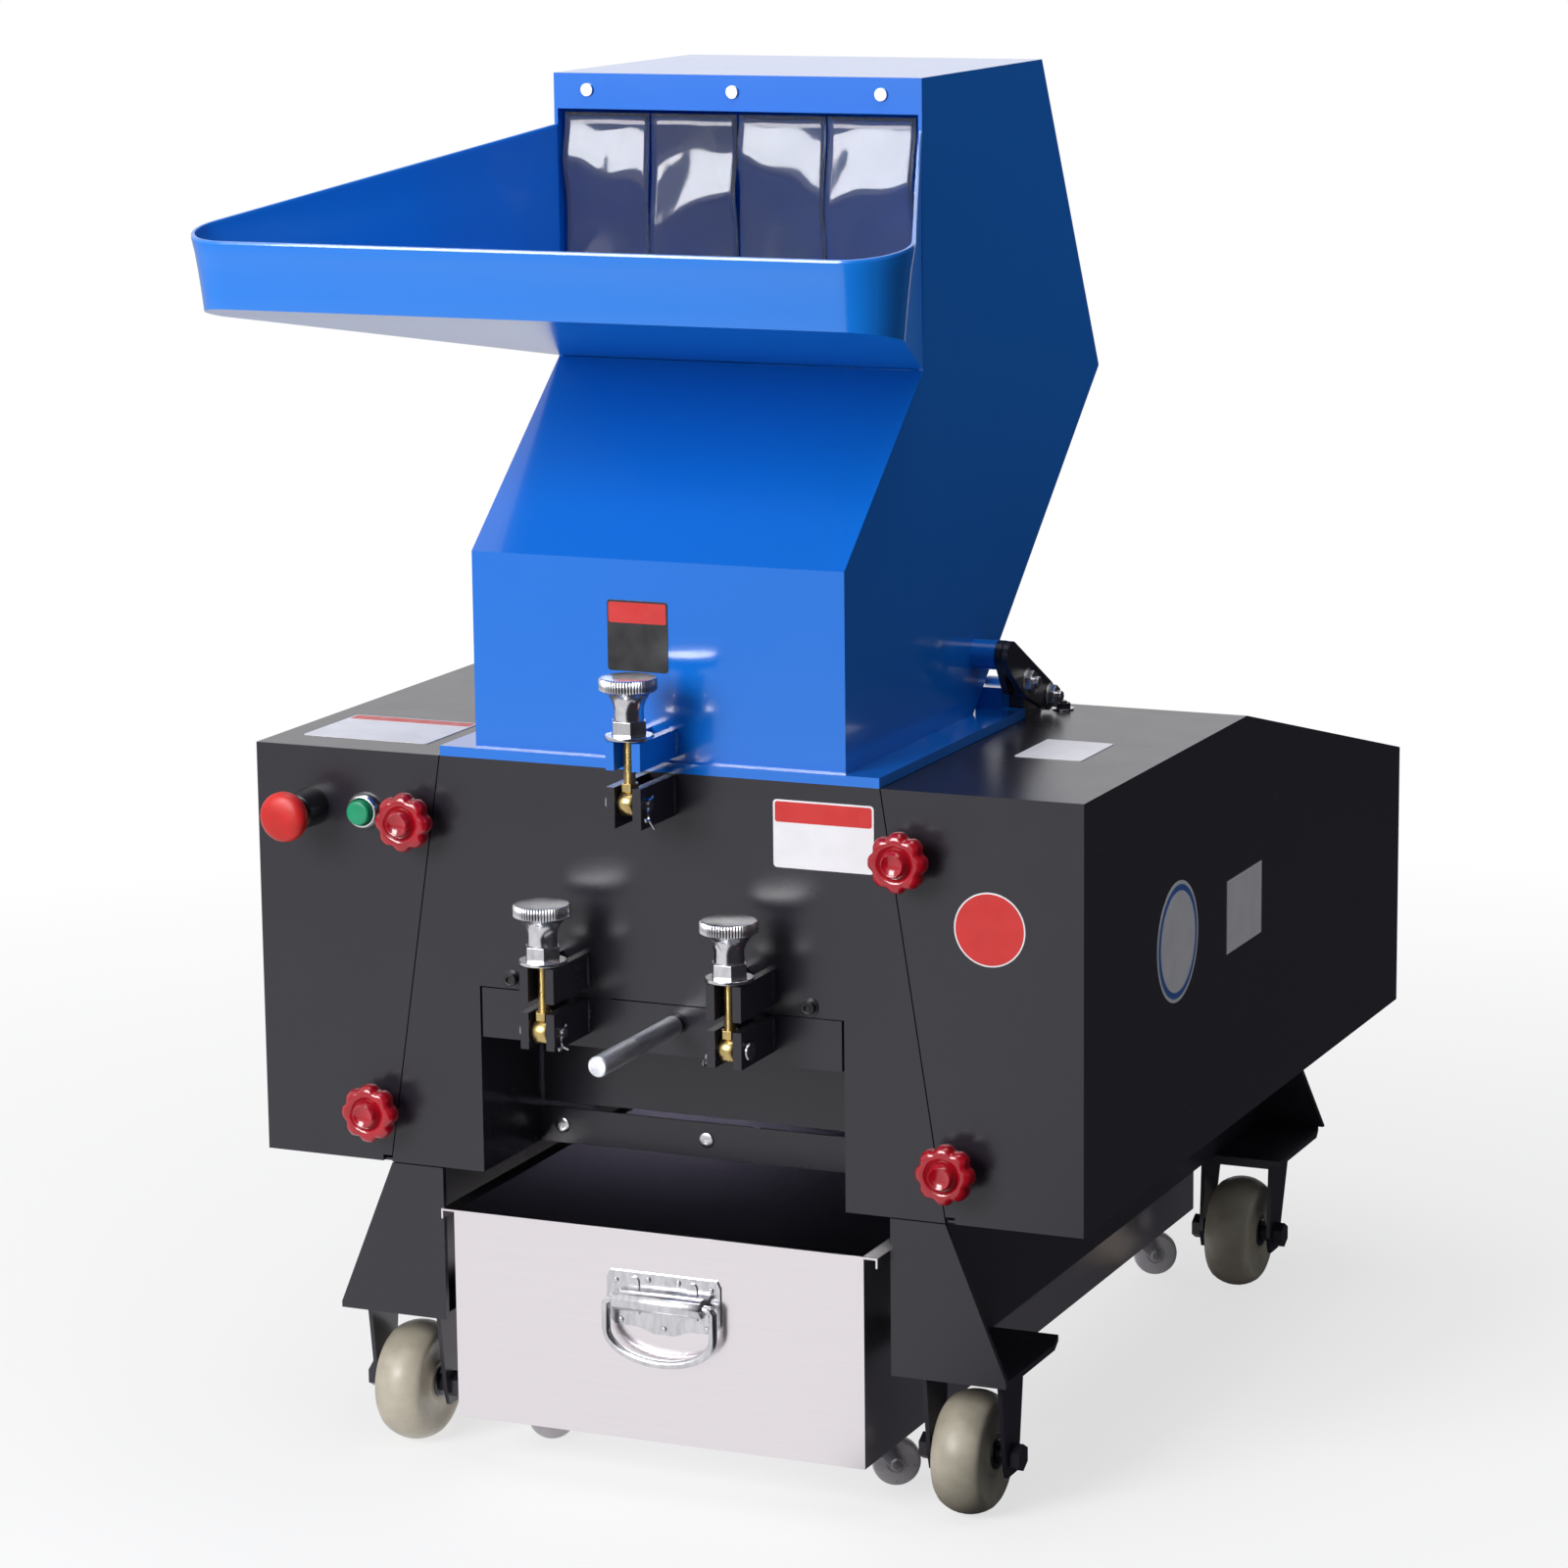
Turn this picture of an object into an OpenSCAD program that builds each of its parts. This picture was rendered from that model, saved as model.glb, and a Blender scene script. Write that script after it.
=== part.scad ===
// Plastic granulator: a knife rotor in a belt-driven body, a hopper that tilts back on a hinge,
// a feed tray, a screen cradle that swings down and a wheeled bin that rolls out below.

/* [Body] */
// Width over the two side hoods
body_w = 702; // [690:1:760]
// Depth of the hoods
body_d = 810; // [800:1:860]
// Height of the hood tops above the floor
body_h = 580; // [578:1:600]
// Height of the front panel and the hoods
panel_h = 335; // [330:1:340]
// Depth of the level part of the hood tops
flat_d = 380; // [350:1:420]
// Fall of the sloping rear of the hood tops
slope_fall = 104; // [60:1:120]
// Thickness of the sheet metal covers
sheet_t = 2; // [1.5:0.5:3]
// Width of the middle front panel at its top
centre_top_w = 373; // [366:1:380]
// Width of the middle front panel at its bottom
centre_low_w = 477; // [470:1:484]
// Gap between neighbouring covers
seam_gap = 1; // [0.5:0.1:1.5]
// Width of the notch in the middle front panel
notch_w = 312; // [306:1:316]
// Height of the notch
notch_h = 152; // [146:1:158]
// Depth of the recess behind the notch
recess_d = 102; // [90:1:104]

/* [Hopper] */
// Width of the hopper
hopper_w = 314; // [306:1:320]
// Height of the hopper above the body
hopper_h = 522; // [500:1:560]
// Wall thickness of the hopper
hopper_t = 3; // [2:0.5:4]
// Height of the upright front wall of the throat
throat_h = 163; // [120:1:180]
// Distance of the throat wall behind the front panel
throat_y = 5; // [4:1:10]
// Height of the mouth sill above the body
sill_h = 297; // [280:1:310]
// Distance of the mouth behind the front panel
mouth_y = 165; // [150:1:180]
// Height of the lip above the mouth
lip_h = 28; // [20:1:40]
// Depth at the rear edge of the hopper top
roof_back_y = 425; // [400:1:440]
// Depth of the rear corner of the hopper
corner_y = 560; // [520:1:565]
// Height of the rear corner of the hopper
corner_h = 258; // [250:1:300]
// Depth of the rear wall at the flange
base_back_y = 268; // [262:1:272]
// Depth of the base flange
flange_d = 307; // [303:1:309]
// Thickness of the base flange
flange_t = 8; // [6:1:10]

/* [Tray] */
// Width of the feed tray at its front
tray_w = 612; // [590:1:620]
// Reach of the tray in front of the front panel
tray_reach = 216; // [180:1:240]
// Height of the tray's front edge above the body
tray_h = 420; // [400:1:440]
// Height of the front strip of the tray
strip_h = 52; // [40:1:60]
// Corner radius of the tray front
tray_r = 42; // [20:1:60]
// Height of the tray wings at the mouth
wing_h = 482; // [450:1:488]

/* [Chamber] */
// Thickness of the chamber side plates
side_t = 14; // [10:1:16]
// Depth of the chamber
chamber_d = 306; // [302:1:308]
// Rotor axis behind the front panel
rotor_y = 150; // [149:1:151]
// Rotor axis below the hood tops
rotor_fall = 95; // [94:1:96]
// Radius over the rotor knives
rotor_r = 80; // [76:1:80]
// Radius of the rotor hub
hub_r = 56; // [50:1:60]
// Radius of the rotor shaft
shaft_r = 22; // [18:1:24]
// Inner radius of the screen
screen_r = 84; // [83:1:85]
// Thickness of the screen
screen_t = 4; // [3:0.5:5]
// Diameter of the holes in the screen
mesh_d = 12; // [8:1:14]
// Radius of the flywheel
flywheel_r = 86; // [80:1:88]
// Width of the flywheel
flywheel_w = 46; // [30:1:50]
// Radius of the rotor pulley
pulley_r = 82; // [70:1:86]
// Width of the pulleys
pulley_w = 48; // [40:1:50]
// Motor axis behind the front panel
motor_y = 600; // [590:1:620]
// Motor axis above the floor
motor_z = 350; // [350:1:360]
// Radius of the motor body
motor_r = 78; // [70:1:80]
// Radius of the motor pulley
motor_pulley_r = 41; // [35:1:50]

/* [Latches] */
// Distance of the bolt axes in front of the front panel
bolt_y = 50; // [48:1:52]
// Radius of the eye bolts
bolt_r = 5; // [4:0.5:5]
// Gap between the two arms of a latch bracket
fork_gap = 15; // [14:1:16]
// Thickness of a bracket arm
arm_t = 7; // [5:1:8]
// Reach of a bracket arm in front of the panel
arm_reach = 62; // [60:1:64]
// Diameter of the knurled knob disc
knob_d = 45; // [40:1:48]
// Diameter of the washer
washer_d = 38; // [34:1:40]
// Height of the washer, nut and knob together
stack_h = 48; // [46:1:52]

/* [Bin] */
// Width of the bin box
bin_w = 353; // [345:1:360]
// Width of the bin rim
rim_w = 376; // [370:1:380]
// Depth of the bin
bin_d = 775; // [760:1:780]
// Height of the bin box
bin_h = 171; // [160:1:172]
// Height of the bin floor above the ground
bin_z = 44; // [42:1:44]
// Wall thickness of the bin
bin_t = 1.5; // [1.2:0.1:3]
// Reach of the bin in front of the panel
bin_front = 14; // [10:1:18]
// Diameter of the small bin wheels
small_wheel_d = 39; // [36:1:39]

/* [Wheels] */
// Diameter of the machine wheels
wheel_d = 98; // [90:1:100]
// Width of the machine wheels
wheel_w = 40; // [36:1:44]
// Distance of the wheels from the middle
wheel_x = 243; // [240:1:246]
// Front wheel axis behind the front panel
front_wheel_y = 45; // [40:1:60]
// Rear swivel axis behind the front panel
rear_swivel_y = 709; // [705:1:720]
// Trail of the rear wheels
trail = 14; // [10:1:15]
// Height of the caster plates above the floor
plate_z = 123; // [122:1:128]

/* [Controls] */
// Diameter of the emergency stop mushroom
stop_d = 40; // [36:1:44]
// Diameter of the start button bezel
start_d = 29.5; // [26:0.5:32]
// Diameter of the star knobs
star_d = 48; // [44:1:50]

/* [Hidden] */
$fn = 64;

// Common small sizes
// Overrun of every cut
over = 1;
// Running clearance of pins and shafts
run = 0.05;
// Clearance between parts that pass each other
pass = 0.4;
// Slack of the latch nuts round their bolts
slack = 1.4;

// Middle of the whole machine behind the front panel
middle_y = (body_d - tray_reach) / 2;
// Bottom edge of the hoods
skirt_z = body_h - panel_h;
// Top edge of the notch
notch_z = skirt_z + notch_h;
rotor_z = body_h - rotor_fall;
half_w = body_w / 2;
mouth_z = body_h + sill_h;
top_z = body_h + hopper_h;

// Moves each corner of an anticlockwise outline inwards by t
function inset(p, t) = [
  for (i = [0 : len(p) - 1])
    let (
      a = p[(i + len(p) - 1) % len(p)],
      b = p[i],
      c = p[(i + 1) % len(p)],
      u = (b - a) / norm(b - a),
      v = (c - b) / norm(c - b),
      n = [-u.y, u.x],
      m = [-v.y, v.x]
    )
    b + (n + m) * t / (1 + n * m)
];

// Puts a piece in the final frame, whose origin is under the middle of the machine
module place() translate([0, -middle_y, 0]) children();

// Extrudes an outline drawn in Y and Z from x to x + w
module across(x, w) translate([x, 0, 0]) rotate([90, 0, 90]) linear_extrude(w) children();

// Extrudes an outline drawn in X and Z from y to y + d
module along(y, d) translate([0, y + d, 0]) rotate([90, 0, 0]) linear_extrude(d) children();

// A block from one corner to the other
module block(a, b) translate(a) cube(b - a);

// A round bar along X from x to x + w
module bar_x(x, w, r, y, z) translate([x, y, z]) rotate([0, 90, 0]) cylinder(r = r, h = w);

// A round bar along Y from y to y + d
module bar_y(y, d, r, x, z) translate([x, y, z]) rotate([-90, 0, 0]) cylinder(r = r, h = d);

// A child and its mirror image on the other side
module both() {
  children();
  mirror([1, 0, 0]) children();
}

// Stand: side plates, leg plates, caster plates, shelf for the motor and cross members
leg_t = 5;
leg_step = 37;
leg_over = 45;
leg_in = notch_w / 2 + leg_step;
leg_out = wheel_x + leg_over;
stand_x = 222;
stand_top = body_h - 2 * rotor_fall;
caster_plate_d = 130;
rear_leg_gap = 12;
shelf_drop = 20;
shelf_ahead = 130;
rear_leg_y = body_d - sheet_t - rear_leg_gap;
shelf_z = motor_z - motor_r - shelf_drop;
shelf_t = 8;
shelf_y = motor_y - shelf_ahead;
shelf_d = 260;
leg_chamfer = 6;

module leg_face(y, outer_top) along(y, leg_t) polygon([
  [leg_in, skirt_z - seam_gap], [outer_top, skirt_z - seam_gap], [leg_out, plate_z], [leg_in, plate_z]
]);

module caster_plate(y, d) translate([0, y, plate_z - leg_t]) linear_extrude(leg_t) polygon([
  [leg_in, 0], [leg_out, 0], [leg_out, d - leg_chamfer * 4], [leg_out - leg_chamfer, d], [leg_in, d]
]);

module stand() place() color("#2b2a2f") both() {
  difference() {
    block([stand_x, leg_t, plate_z], [stand_x + leg_t, rear_leg_y, stand_top]);
    // Way through for the motor shaft
    block(
      [stand_x - over, motor_y - motor_pulley_r, motor_z - motor_pulley_r],
      [stand_x + leg_t + over, motor_y + motor_pulley_r, stand_top + over]
    );
  }
  leg_face(0, centre_low_w / 2);
  leg_face(rear_leg_y, centre_low_w / 2);
  caster_plate(0, caster_plate_d);
  caster_plate(rear_leg_y + leg_t - caster_plate_d, caster_plate_d);
  // Spacer between the side plate and the chamber
  block(
    [notch_w / 2 + side_t, leg_t + recess_d / 4, stand_top - 3 * shelf_t],
    [stand_x, chamber_d - 2 * shelf_t, stand_top - shelf_t]
  );
  // Motor shelf and rear cross member
  block([0, shelf_y, shelf_z - shelf_t], [stand_x, shelf_y + shelf_d, shelf_z]);
  block([0, rear_leg_y - shelf_t, skirt_z], [stand_x, rear_leg_y, shelf_z + shelf_t]);
  // Shelf that carries the hoods
  block(
    [stand_x + leg_t, leg_t + shelf_t, skirt_z + sheet_t],
    [half_w - sheet_t - pass, leg_t + 4 * shelf_t, skirt_z + sheet_t + shelf_t]
  );
  star_tab(stand_x + leg_t, star_z[1]);
}

// Tab with a bore for the stud of a star knob, from x outwards
tab_h = 24;
tab_y = 8;
tab_t = 8;

module star_tab(x, z) difference() {
  block([x, tab_y, z - tab_h / 2], [star_x(z) + tab_h / 2, tab_y + tab_t, z + tab_h / 2]);
  bar_y(tab_y - over, tab_t + 2 * over, stud_r + run, star_x(z), z);
}

// Chamber: side plates, front and rear walls and the knife seats
chamber_x = notch_w / 2;
seat_step = 2;
seat_r = screen_r - seat_step;
seat_top = 16;
front_seat_low = 8;
rear_seat_low = 53;
wall_t = 12;
panel_t = 3;
pivot_ahead = 4;
pivot_fall = 7;
cradle_pivot_y = chamber_d - wall_t - pivot_ahead;
cradle_pivot_z = notch_z - pivot_fall;
pivot_r = 9;

module chamber() place() color("#3a3a40") {
  both() difference() {
    block([chamber_x, panel_t, skirt_z], [chamber_x + side_t, chamber_d, body_h]);
    bar_x(chamber_x - over, side_t + 2 * over, shaft_r + pass, rotor_y, rotor_z);
    bar_x(chamber_x - over, side_t + 2 * over, pivot_r + run, cradle_pivot_y, cradle_pivot_z);
  }
  both() star_tab(chamber_x + side_t, star_z[0]);
  // Front wall and front knife seat
  difference() {
    union() {
      block([-chamber_x, panel_t, notch_z + leg_t], [chamber_x, panel_t + wall_t, body_h]);
      block(
        [-chamber_x, panel_t + wall_t, rotor_z - front_seat_low],
        [chamber_x, rotor_y - hub_r, rotor_z + seat_top]
      );
    }
    bar_x(-chamber_x - over, notch_w + 2 * over, seat_r, rotor_y, rotor_z);
  }
  // Rear wall and rear knife seat
  difference() {
    union() {
      block([-chamber_x, chamber_d - wall_t, rotor_z - rear_seat_low], [chamber_x, chamber_d, body_h]);
      block(
        [-chamber_x, rotor_y + hub_r, rotor_z - rear_seat_low],
        [chamber_x, chamber_d - wall_t, rotor_z + seat_top]
      );
    }
    bar_x(-chamber_x - over, notch_w + 2 * over, seat_r, rotor_y, rotor_z);
  }
  // Fixed front of the discharge chute
  block([-chamber_x, recess_d, skirt_z], [chamber_x, recess_d + sheet_t, skirt_z + chute_ledge_h]);
}
chute_ledge_h = 29;

// Fixed knives on their seats, with their clamping screws
knife_t = 12;
knife_d = 46;
knife_gap = 1;
screw_r = 6;
screw_h = 6;

module bed_knife(y, x0) {
  block(
    [-chamber_x + knife_gap, y, rotor_z + seat_top],
    [chamber_x - knife_gap, y + knife_d, rotor_z + seat_top + knife_t]
  );
  for (i = [-2 : 2])
    translate([i * notch_w / 6, y + x0, rotor_z + seat_top + knife_t])
      cylinder(r = screw_r, h = screw_h, $fn = 6);
}

module bed_knives() place() color("#b9bcc2") {
  bed_knife(rotor_y - rotor_r - knife_d - knife_gap, knife_d / 3);
  bed_knife(rotor_y + rotor_r + knife_gap, knife_d * 2 / 3);
}

// Flanged bearing housings on the chamber sides
bearing_w = 104;
bearing_t = 16;
bearing_nose = 12;
bearing_r = 44;
bearing_screw_share = 0.38;
bearing_screw = bearing_w * bearing_screw_share;

module bearings() place() color("#4c5057") both() {
  difference() {
    union() {
      translate([chamber_x + side_t, rotor_y, rotor_z]) rotate([0, 90, 0])
        translate([-bearing_w / 2, -bearing_w / 2, 0]) cube([bearing_w, bearing_w, bearing_t]);
      bar_x(chamber_x + side_t + bearing_t, bearing_nose, bearing_r, rotor_y, rotor_z);
    }
    bar_x(chamber_x, half_w, shaft_r + run, rotor_y, rotor_z);
  }
  for (i = [-1, 1], j = [-1, 1])
    translate([chamber_x + side_t + bearing_t, rotor_y + i * bearing_screw, rotor_z + j * bearing_screw])
      rotate([0, 90, 0]) cylinder(r = screw_r, h = screw_h, $fn = 6);
}

// Middle front panel with the three fixed latch brackets welded on
top_bolt_x = 2;
left_bolt_x = -75;
right_bolt_x = 83;
bracket_h = 32;
low_bracket_h = 28;
bracket_gap = 2;
top_pin_fall = 14.5;
top_pin_z = body_h - top_pin_fall;
fixed_low_rise = 7;
fixed_low_z = notch_z + fixed_low_rise;

// Two upright arms either side of a bolt, from z to z + h
module fork(x, z, h, y) for (i = [-1, 1])
  block(
    [x + i * (fork_gap + arm_t) / 2 - arm_t / 2, -arm_reach, z],
    [x + i * (fork_gap + arm_t) / 2 + arm_t / 2, y, z + h]
  );

module front_panel() place() color("#2f2d33") {
  along(0, panel_t) difference() {
    polygon([
      [-centre_top_w / 2, body_h], [-centre_low_w / 2, skirt_z], [centre_low_w / 2, skirt_z],
      [centre_top_w / 2, body_h]
    ]);
    translate([-chamber_x, skirt_z - over]) square([notch_w, notch_h + over]);
  }
  difference() {
    fork(top_bolt_x, body_h - bracket_h - bracket_gap / 2, bracket_h, 0);
    bar_x(top_bolt_x - fork_gap - arm_t, 2 * (fork_gap + arm_t), bolt_r + run, -bolt_y, top_pin_z);
  }
  fork(left_bolt_x, fixed_low_z, low_bracket_h, 0);
  fork(right_bolt_x, fixed_low_z, low_bracket_h, 0);
}

// Side hoods: folded covers over the flywheel and the belt drive
hood_outline = [
  [0, skirt_z], [body_d, skirt_z], [body_d, body_h - slope_fall], [flat_d, body_h], [0, body_h]
];
foot_notch_w = 8;
foot_notch_h = 5;

module hood() difference() {
  intersection() {
    across(0, half_w) polygon(hood_outline);
    along(0, body_d) polygon([
      [centre_top_w / 2 + seam_gap, body_h], [centre_low_w / 2 + seam_gap, skirt_z],
      [half_w, skirt_z], [half_w, body_h]
    ]);
  }
  across(0, half_w - sheet_t) polygon(inset(hood_outline, sheet_t));
  // Foot notch at the inner front corner
  block(
    [centre_low_w / 2, -over, skirt_z - over],
    [centre_low_w / 2 + foot_notch_w, over + sheet_t, skirt_z + foot_notch_h]
  );
}

module star_holes() for (z = star_z)
  bar_y(-over, 2 * over + sheet_t, stud_r + pass, star_x(z), z);

module left_hood() place() color("#33313a") difference() {
  mirror([1, 0, 0]) hood();
  mirror([1, 0, 0]) star_holes();
  bar_y(-over, 2 * over + sheet_t, hole_r, -stop_x, control_z);
  bar_y(-over, 2 * over + sheet_t, hole_r, -start_x, control_z);
}
module right_hood() place() color("#33313a") difference() {
  hood();
  star_holes();
}

// Rear cover between the hoods, with cooling louvres in its back
louvre_w = 90;
louvre_h = 8;
louvre_pitch = 20;
louvre_z = 300;
louvres = 6;

module rear_cover() place() color("#33313a") difference() {
  intersection() {
    across(-half_w, body_w) polygon(hood_outline);
    along(chamber_d + 2 * seam_gap, body_d - chamber_d - 2 * seam_gap) polygon([
      [-centre_top_w / 2, body_h], [-centre_low_w / 2, skirt_z], [centre_low_w / 2, skirt_z],
      [centre_top_w / 2, body_h]
    ]);
  }
  across(-half_w, body_w) polygon(inset(hood_outline, sheet_t));
  // Open underneath, over the bin
  block(
    [-half_w, chamber_d, skirt_z - over],
    [half_w, body_d - sheet_t, skirt_z + sheet_t + over]
  );
  for (i = [0 : louvres - 1], x = [-louvre_w - louvre_pitch, 0, louvre_w + louvre_pitch])
    block(
      [x - louvre_w / 2, body_d - 2 * sheet_t, louvre_z + i * louvre_pitch],
      [x + louvre_w / 2, body_d + over, louvre_z + i * louvre_pitch + louvre_h]
    );
}

// Hinge lugs of the frame with the hinge pins
hinge_y = 323;
hinge_rise = 18;
hinge_z = body_h + hinge_rise;
lug_x = 172;
lug_t = 12;
lug_w = 26;
hinge_pin_r = 6;
stay_pin_r = 5;
stay_y = 338;
stay_rise = 14;
head_share = 1.6;

module hinge_lugs() place() color("#222226") {
  both() {
    block([lug_x, hinge_y - lug_w / 2, body_h], [lug_x + lug_t, hinge_y + lug_w / 2, hinge_z]);
    bar_x(lug_x, lug_t, lug_w / 2, hinge_y, hinge_z);
    bar_x(lug_x - ear_w - 2 * ear_gap, ear_w + 2 * ear_gap, hinge_pin_r, hinge_y, hinge_z);
    bar_x(lug_x - ear_w - 2 * ear_gap - lug_t / 2, lug_t / 2, hinge_pin_r * head_share, hinge_y, hinge_z);
  }
  // Wider lug on the right with the pivot bolt of the lower stay
  block([lug_x, hinge_y, body_h], [lug_x + lug_t, stay_y + lug_w / 2, body_h + stay_rise + lug_w / 2]);
  bar_x(lug_x, lower_stay_x + stay_t + pass - lug_x, stay_pin_r, stay_y, body_h + stay_rise);
  bar_x(lower_stay_x + stay_t + pass, stay_t, stay_pin_r * head_share, stay_y, body_h + stay_rise);
}
ear_w = 23;
ear_gap = 0.5;
stay_t = 5;
upper_stay_x = 178;
lower_stay_x = 191;

// Rigid forks of the two front wheels, with their axle bolts
fork_out = 33;
fork_t = 3.5;
fork_d = 48;
wheel_z = wheel_d / 2;
axle_r = 7;
axle_nut_r = 11;
axle_nut_h = 9;
fork_top = plate_z - leg_t;
tip_d = 30;

// Two arms and a crown for a wheel at the origin's x, between y0 and y0 + d at the top
module wheel_fork(d, lean) {
  for (i = [-1, 1]) translate([i * (fork_out - fork_t / 2) - fork_t / 2, 0, 0])
    rotate([90, 0, 90]) linear_extrude(fork_t) polygon([
      [-d / 2 + lean, fork_top - fork_t], [-tip_d / 2, wheel_z], [-tip_d / 3, wheel_z - tip_d / 2],
      [tip_d / 3, wheel_z - tip_d / 2], [tip_d / 2, wheel_z], [d / 2 + lean, fork_top - fork_t]
    ]);
  translate([-fork_out, -d / 2 + lean, fork_top - 2 * fork_t]) cube([2 * fork_out, d, 2 * fork_t]);
  // Nut of the swivel pin under the crown
  if (lean > 0) translate([0, lean, fork_top - 3 * fork_t]) cylinder(r = axle_nut_r, h = 2 * fork_t);
  bar_x(-fork_out - axle_nut_h, 2 * (fork_out + axle_nut_h), axle_r, 0, wheel_z);
  for (i = [-1, 1]) translate([i * (fork_out + axle_nut_h / 2) - axle_nut_h / 2, 0, wheel_z])
    rotate([0, 90, 0]) cylinder(r = axle_nut_r, h = axle_nut_h, $fn = 6);
}

module front_forks() place() color("#26262a") both()
  translate([wheel_x, front_wheel_y, 0]) wheel_fork(fork_d, 0);

// Housings of the emergency stop and the start button on the left hood
hole_r = 11;
stop_x = 302.5;
start_x = 254.8;
control_fall = 49;
control_z = body_h - control_fall;
stop_reach = 53;
stop_base_d = 30;
stop_base_h = 28;
start_reach = 13;
bezel_h = 6;
housing_d = 40;

module switch_housing(x, d, h, r) {
  // Collar in front of the hood and threaded body behind it, with a bore for the plunger
  difference() {
    union() {
      bar_y(-h, h, d / 2, -x, control_z);
      bar_y(0, housing_d, hole_r, -x, control_z);
    }
    bar_y(-h - over, h + over + housing_d / 2, r + pass / 4, -x, control_z);
  }
}

plunger_r = 8;
mushroom_h = 13;
stop_neck_share = 0.42;
stop_travel = 6;

module switch_housings() place() color("#c9c9c9") {
  switch_housing(stop_x, stop_base_d, stop_base_h, plunger_r);
  switch_housing(start_x, start_d, bezel_h, start_cap_r);
}
start_cap_r = 10;

module stop_button() place() color("#c3201c") {
  bar_y(-stop_reach, mushroom_h, stop_d / 2, -stop_x, control_z);
  bar_y(-stop_reach + mushroom_h, mushroom_h / 3, stop_d * stop_neck_share, -stop_x, control_z);
  bar_y(-stop_reach + mushroom_h, stop_base_h + stop_travel, plunger_r, -stop_x, control_z);
}

module start_button() place() color("#1f9d55")
  bar_y(-start_reach, 2 * start_reach, start_cap_r, -start_x, control_z);

// Motor with its feet on the shelf
motor_len = 250;
motor_left = -130;
foot_w = 150;
foot_t = 10;
cowl_len = 50;

module motor() place() color("#3f5f86") difference() {
  union() {
    bar_x(motor_left, motor_len, motor_r, motor_y, motor_z);
    bar_x(motor_left - cowl_len, cowl_len, motor_r - 2 * sheet_t, motor_y, motor_z);
    for (i = [-1, 1], x = [motor_left + foot_t, motor_left + motor_len - 4 * foot_t])
      block(
        [x, motor_y + i * foot_w / 3 - foot_t, shelf_z],
        [x + 3 * foot_t, motor_y + i * foot_w / 3 + foot_t, motor_z - motor_r / 3]
      );
    block(
      [motor_left + motor_len / 3, motor_y - foot_w / 3, motor_z],
      [motor_left + motor_len * 2 / 3, motor_y + foot_w / 3, motor_z + motor_r + 2 * foot_t]
    );
  }
  bar_x(motor_left + motor_len - 4 * foot_t, 5 * foot_t, motor_shaft_r + run, motor_y, motor_z);
}
motor_shaft_r = 14;

// Motor shaft with its two-groove pulley
pulley_x = 250;
belt_w = 16;
belt_t = 9;
belts = 2;

// Grooved pulley on the X axis through the given point
module grooved_pulley(r, y, z) translate([pulley_x, y, z]) rotate([0, 90, 0]) difference() {
  cylinder(r = r, h = pulley_w);
  for (i = [0 : belts - 1]) translate([0, 0, pulley_w * (2 * i + 1) / (2 * belts) - belt_w / 2 - pass / 2])
    difference() {
      cylinder(r = r + over, h = belt_w + pass);
      translate([0, 0, -over]) cylinder(r = r - belt_t - pass / 2, h = belt_w + pass + 2 * over);
    }
}

module motor_pulley() place() color("#8d9096") {
  bar_x(
    motor_left + motor_len - 3 * foot_t, pulley_x - motor_left - motor_len + 3 * foot_t + over,
    motor_shaft_r, motor_y, motor_z
  );
  grooved_pulley(motor_pulley_r, motor_y, motor_z);
}

module rotor_pulley() place() color("#8d9096") difference() {
  grooved_pulley(pulley_r, rotor_y, rotor_z);
  bar_x(pulley_x - over, pulley_w + 2 * over, shaft_r, rotor_y, rotor_z);
}

// Drive belts round the two pulleys
belt_dy = motor_y - rotor_y;
belt_dz = motor_z - rotor_z;
belt_span = norm([belt_dy, belt_dz]);
belt_turn = atan2(belt_dz, belt_dy);

// Outline round both pulleys in the plane of a belt, for the given growth of their radii
module belt_loop(grow) hull() {
  circle(r = pulley_r + grow);
  translate([belt_span, 0]) circle(r = motor_pulley_r + grow);
}

module drive_belts() place() color("#1c1c1e") for (i = [0 : belts - 1])
  translate([pulley_x + pulley_w * (2 * i + 1) / (2 * belts) - belt_w / 2, rotor_y, rotor_z])
    rotate([90, 0, 90]) rotate(belt_turn) linear_extrude(belt_w) difference() {
      belt_loop(0);
      belt_loop(-belt_t);
    }

// Rotor: shaft, hub with knives, flywheel
shaft_left = 320;
shaft_right = 304;
knife_rows = 3;
knife_steps = 5;
hub_half = 148;
blade_t = 14;
knife_side = 1;
knife_phase = 10;
blade_tip = sqrt(pow(rotor_r, 2) - pow(blade_t / 2, 2));

module rotor_shaft() place() color("#a9abb0")
  bar_x(-shaft_left, shaft_left + shaft_right, shaft_r, rotor_y, rotor_z);

module rotor_knives() place() color("#83868c") difference() {
  union() {
    bar_x(-hub_half, 2 * hub_half, hub_r, rotor_y, rotor_z);
    for (s = [0 : knife_steps - 1], k = [0 : knife_rows - 1])
      translate([-hub_half + s * 2 * hub_half / knife_steps + knife_side, rotor_y, rotor_z])
        rotate([knife_phase + (k + s / knife_steps) * 360 / knife_rows, 0, 0])
          translate([0, hub_r / 2, -blade_t / 2])
            cube([2 * hub_half / knife_steps - 2 * knife_side, blade_tip - hub_r / 2, blade_t]);
  }
  bar_x(-hub_half - over, 2 * hub_half + 2 * over, shaft_r, rotor_y, rotor_z);
}

flywheel_rim = 18;
rim_x = -pulley_x - flywheel_w;

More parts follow.
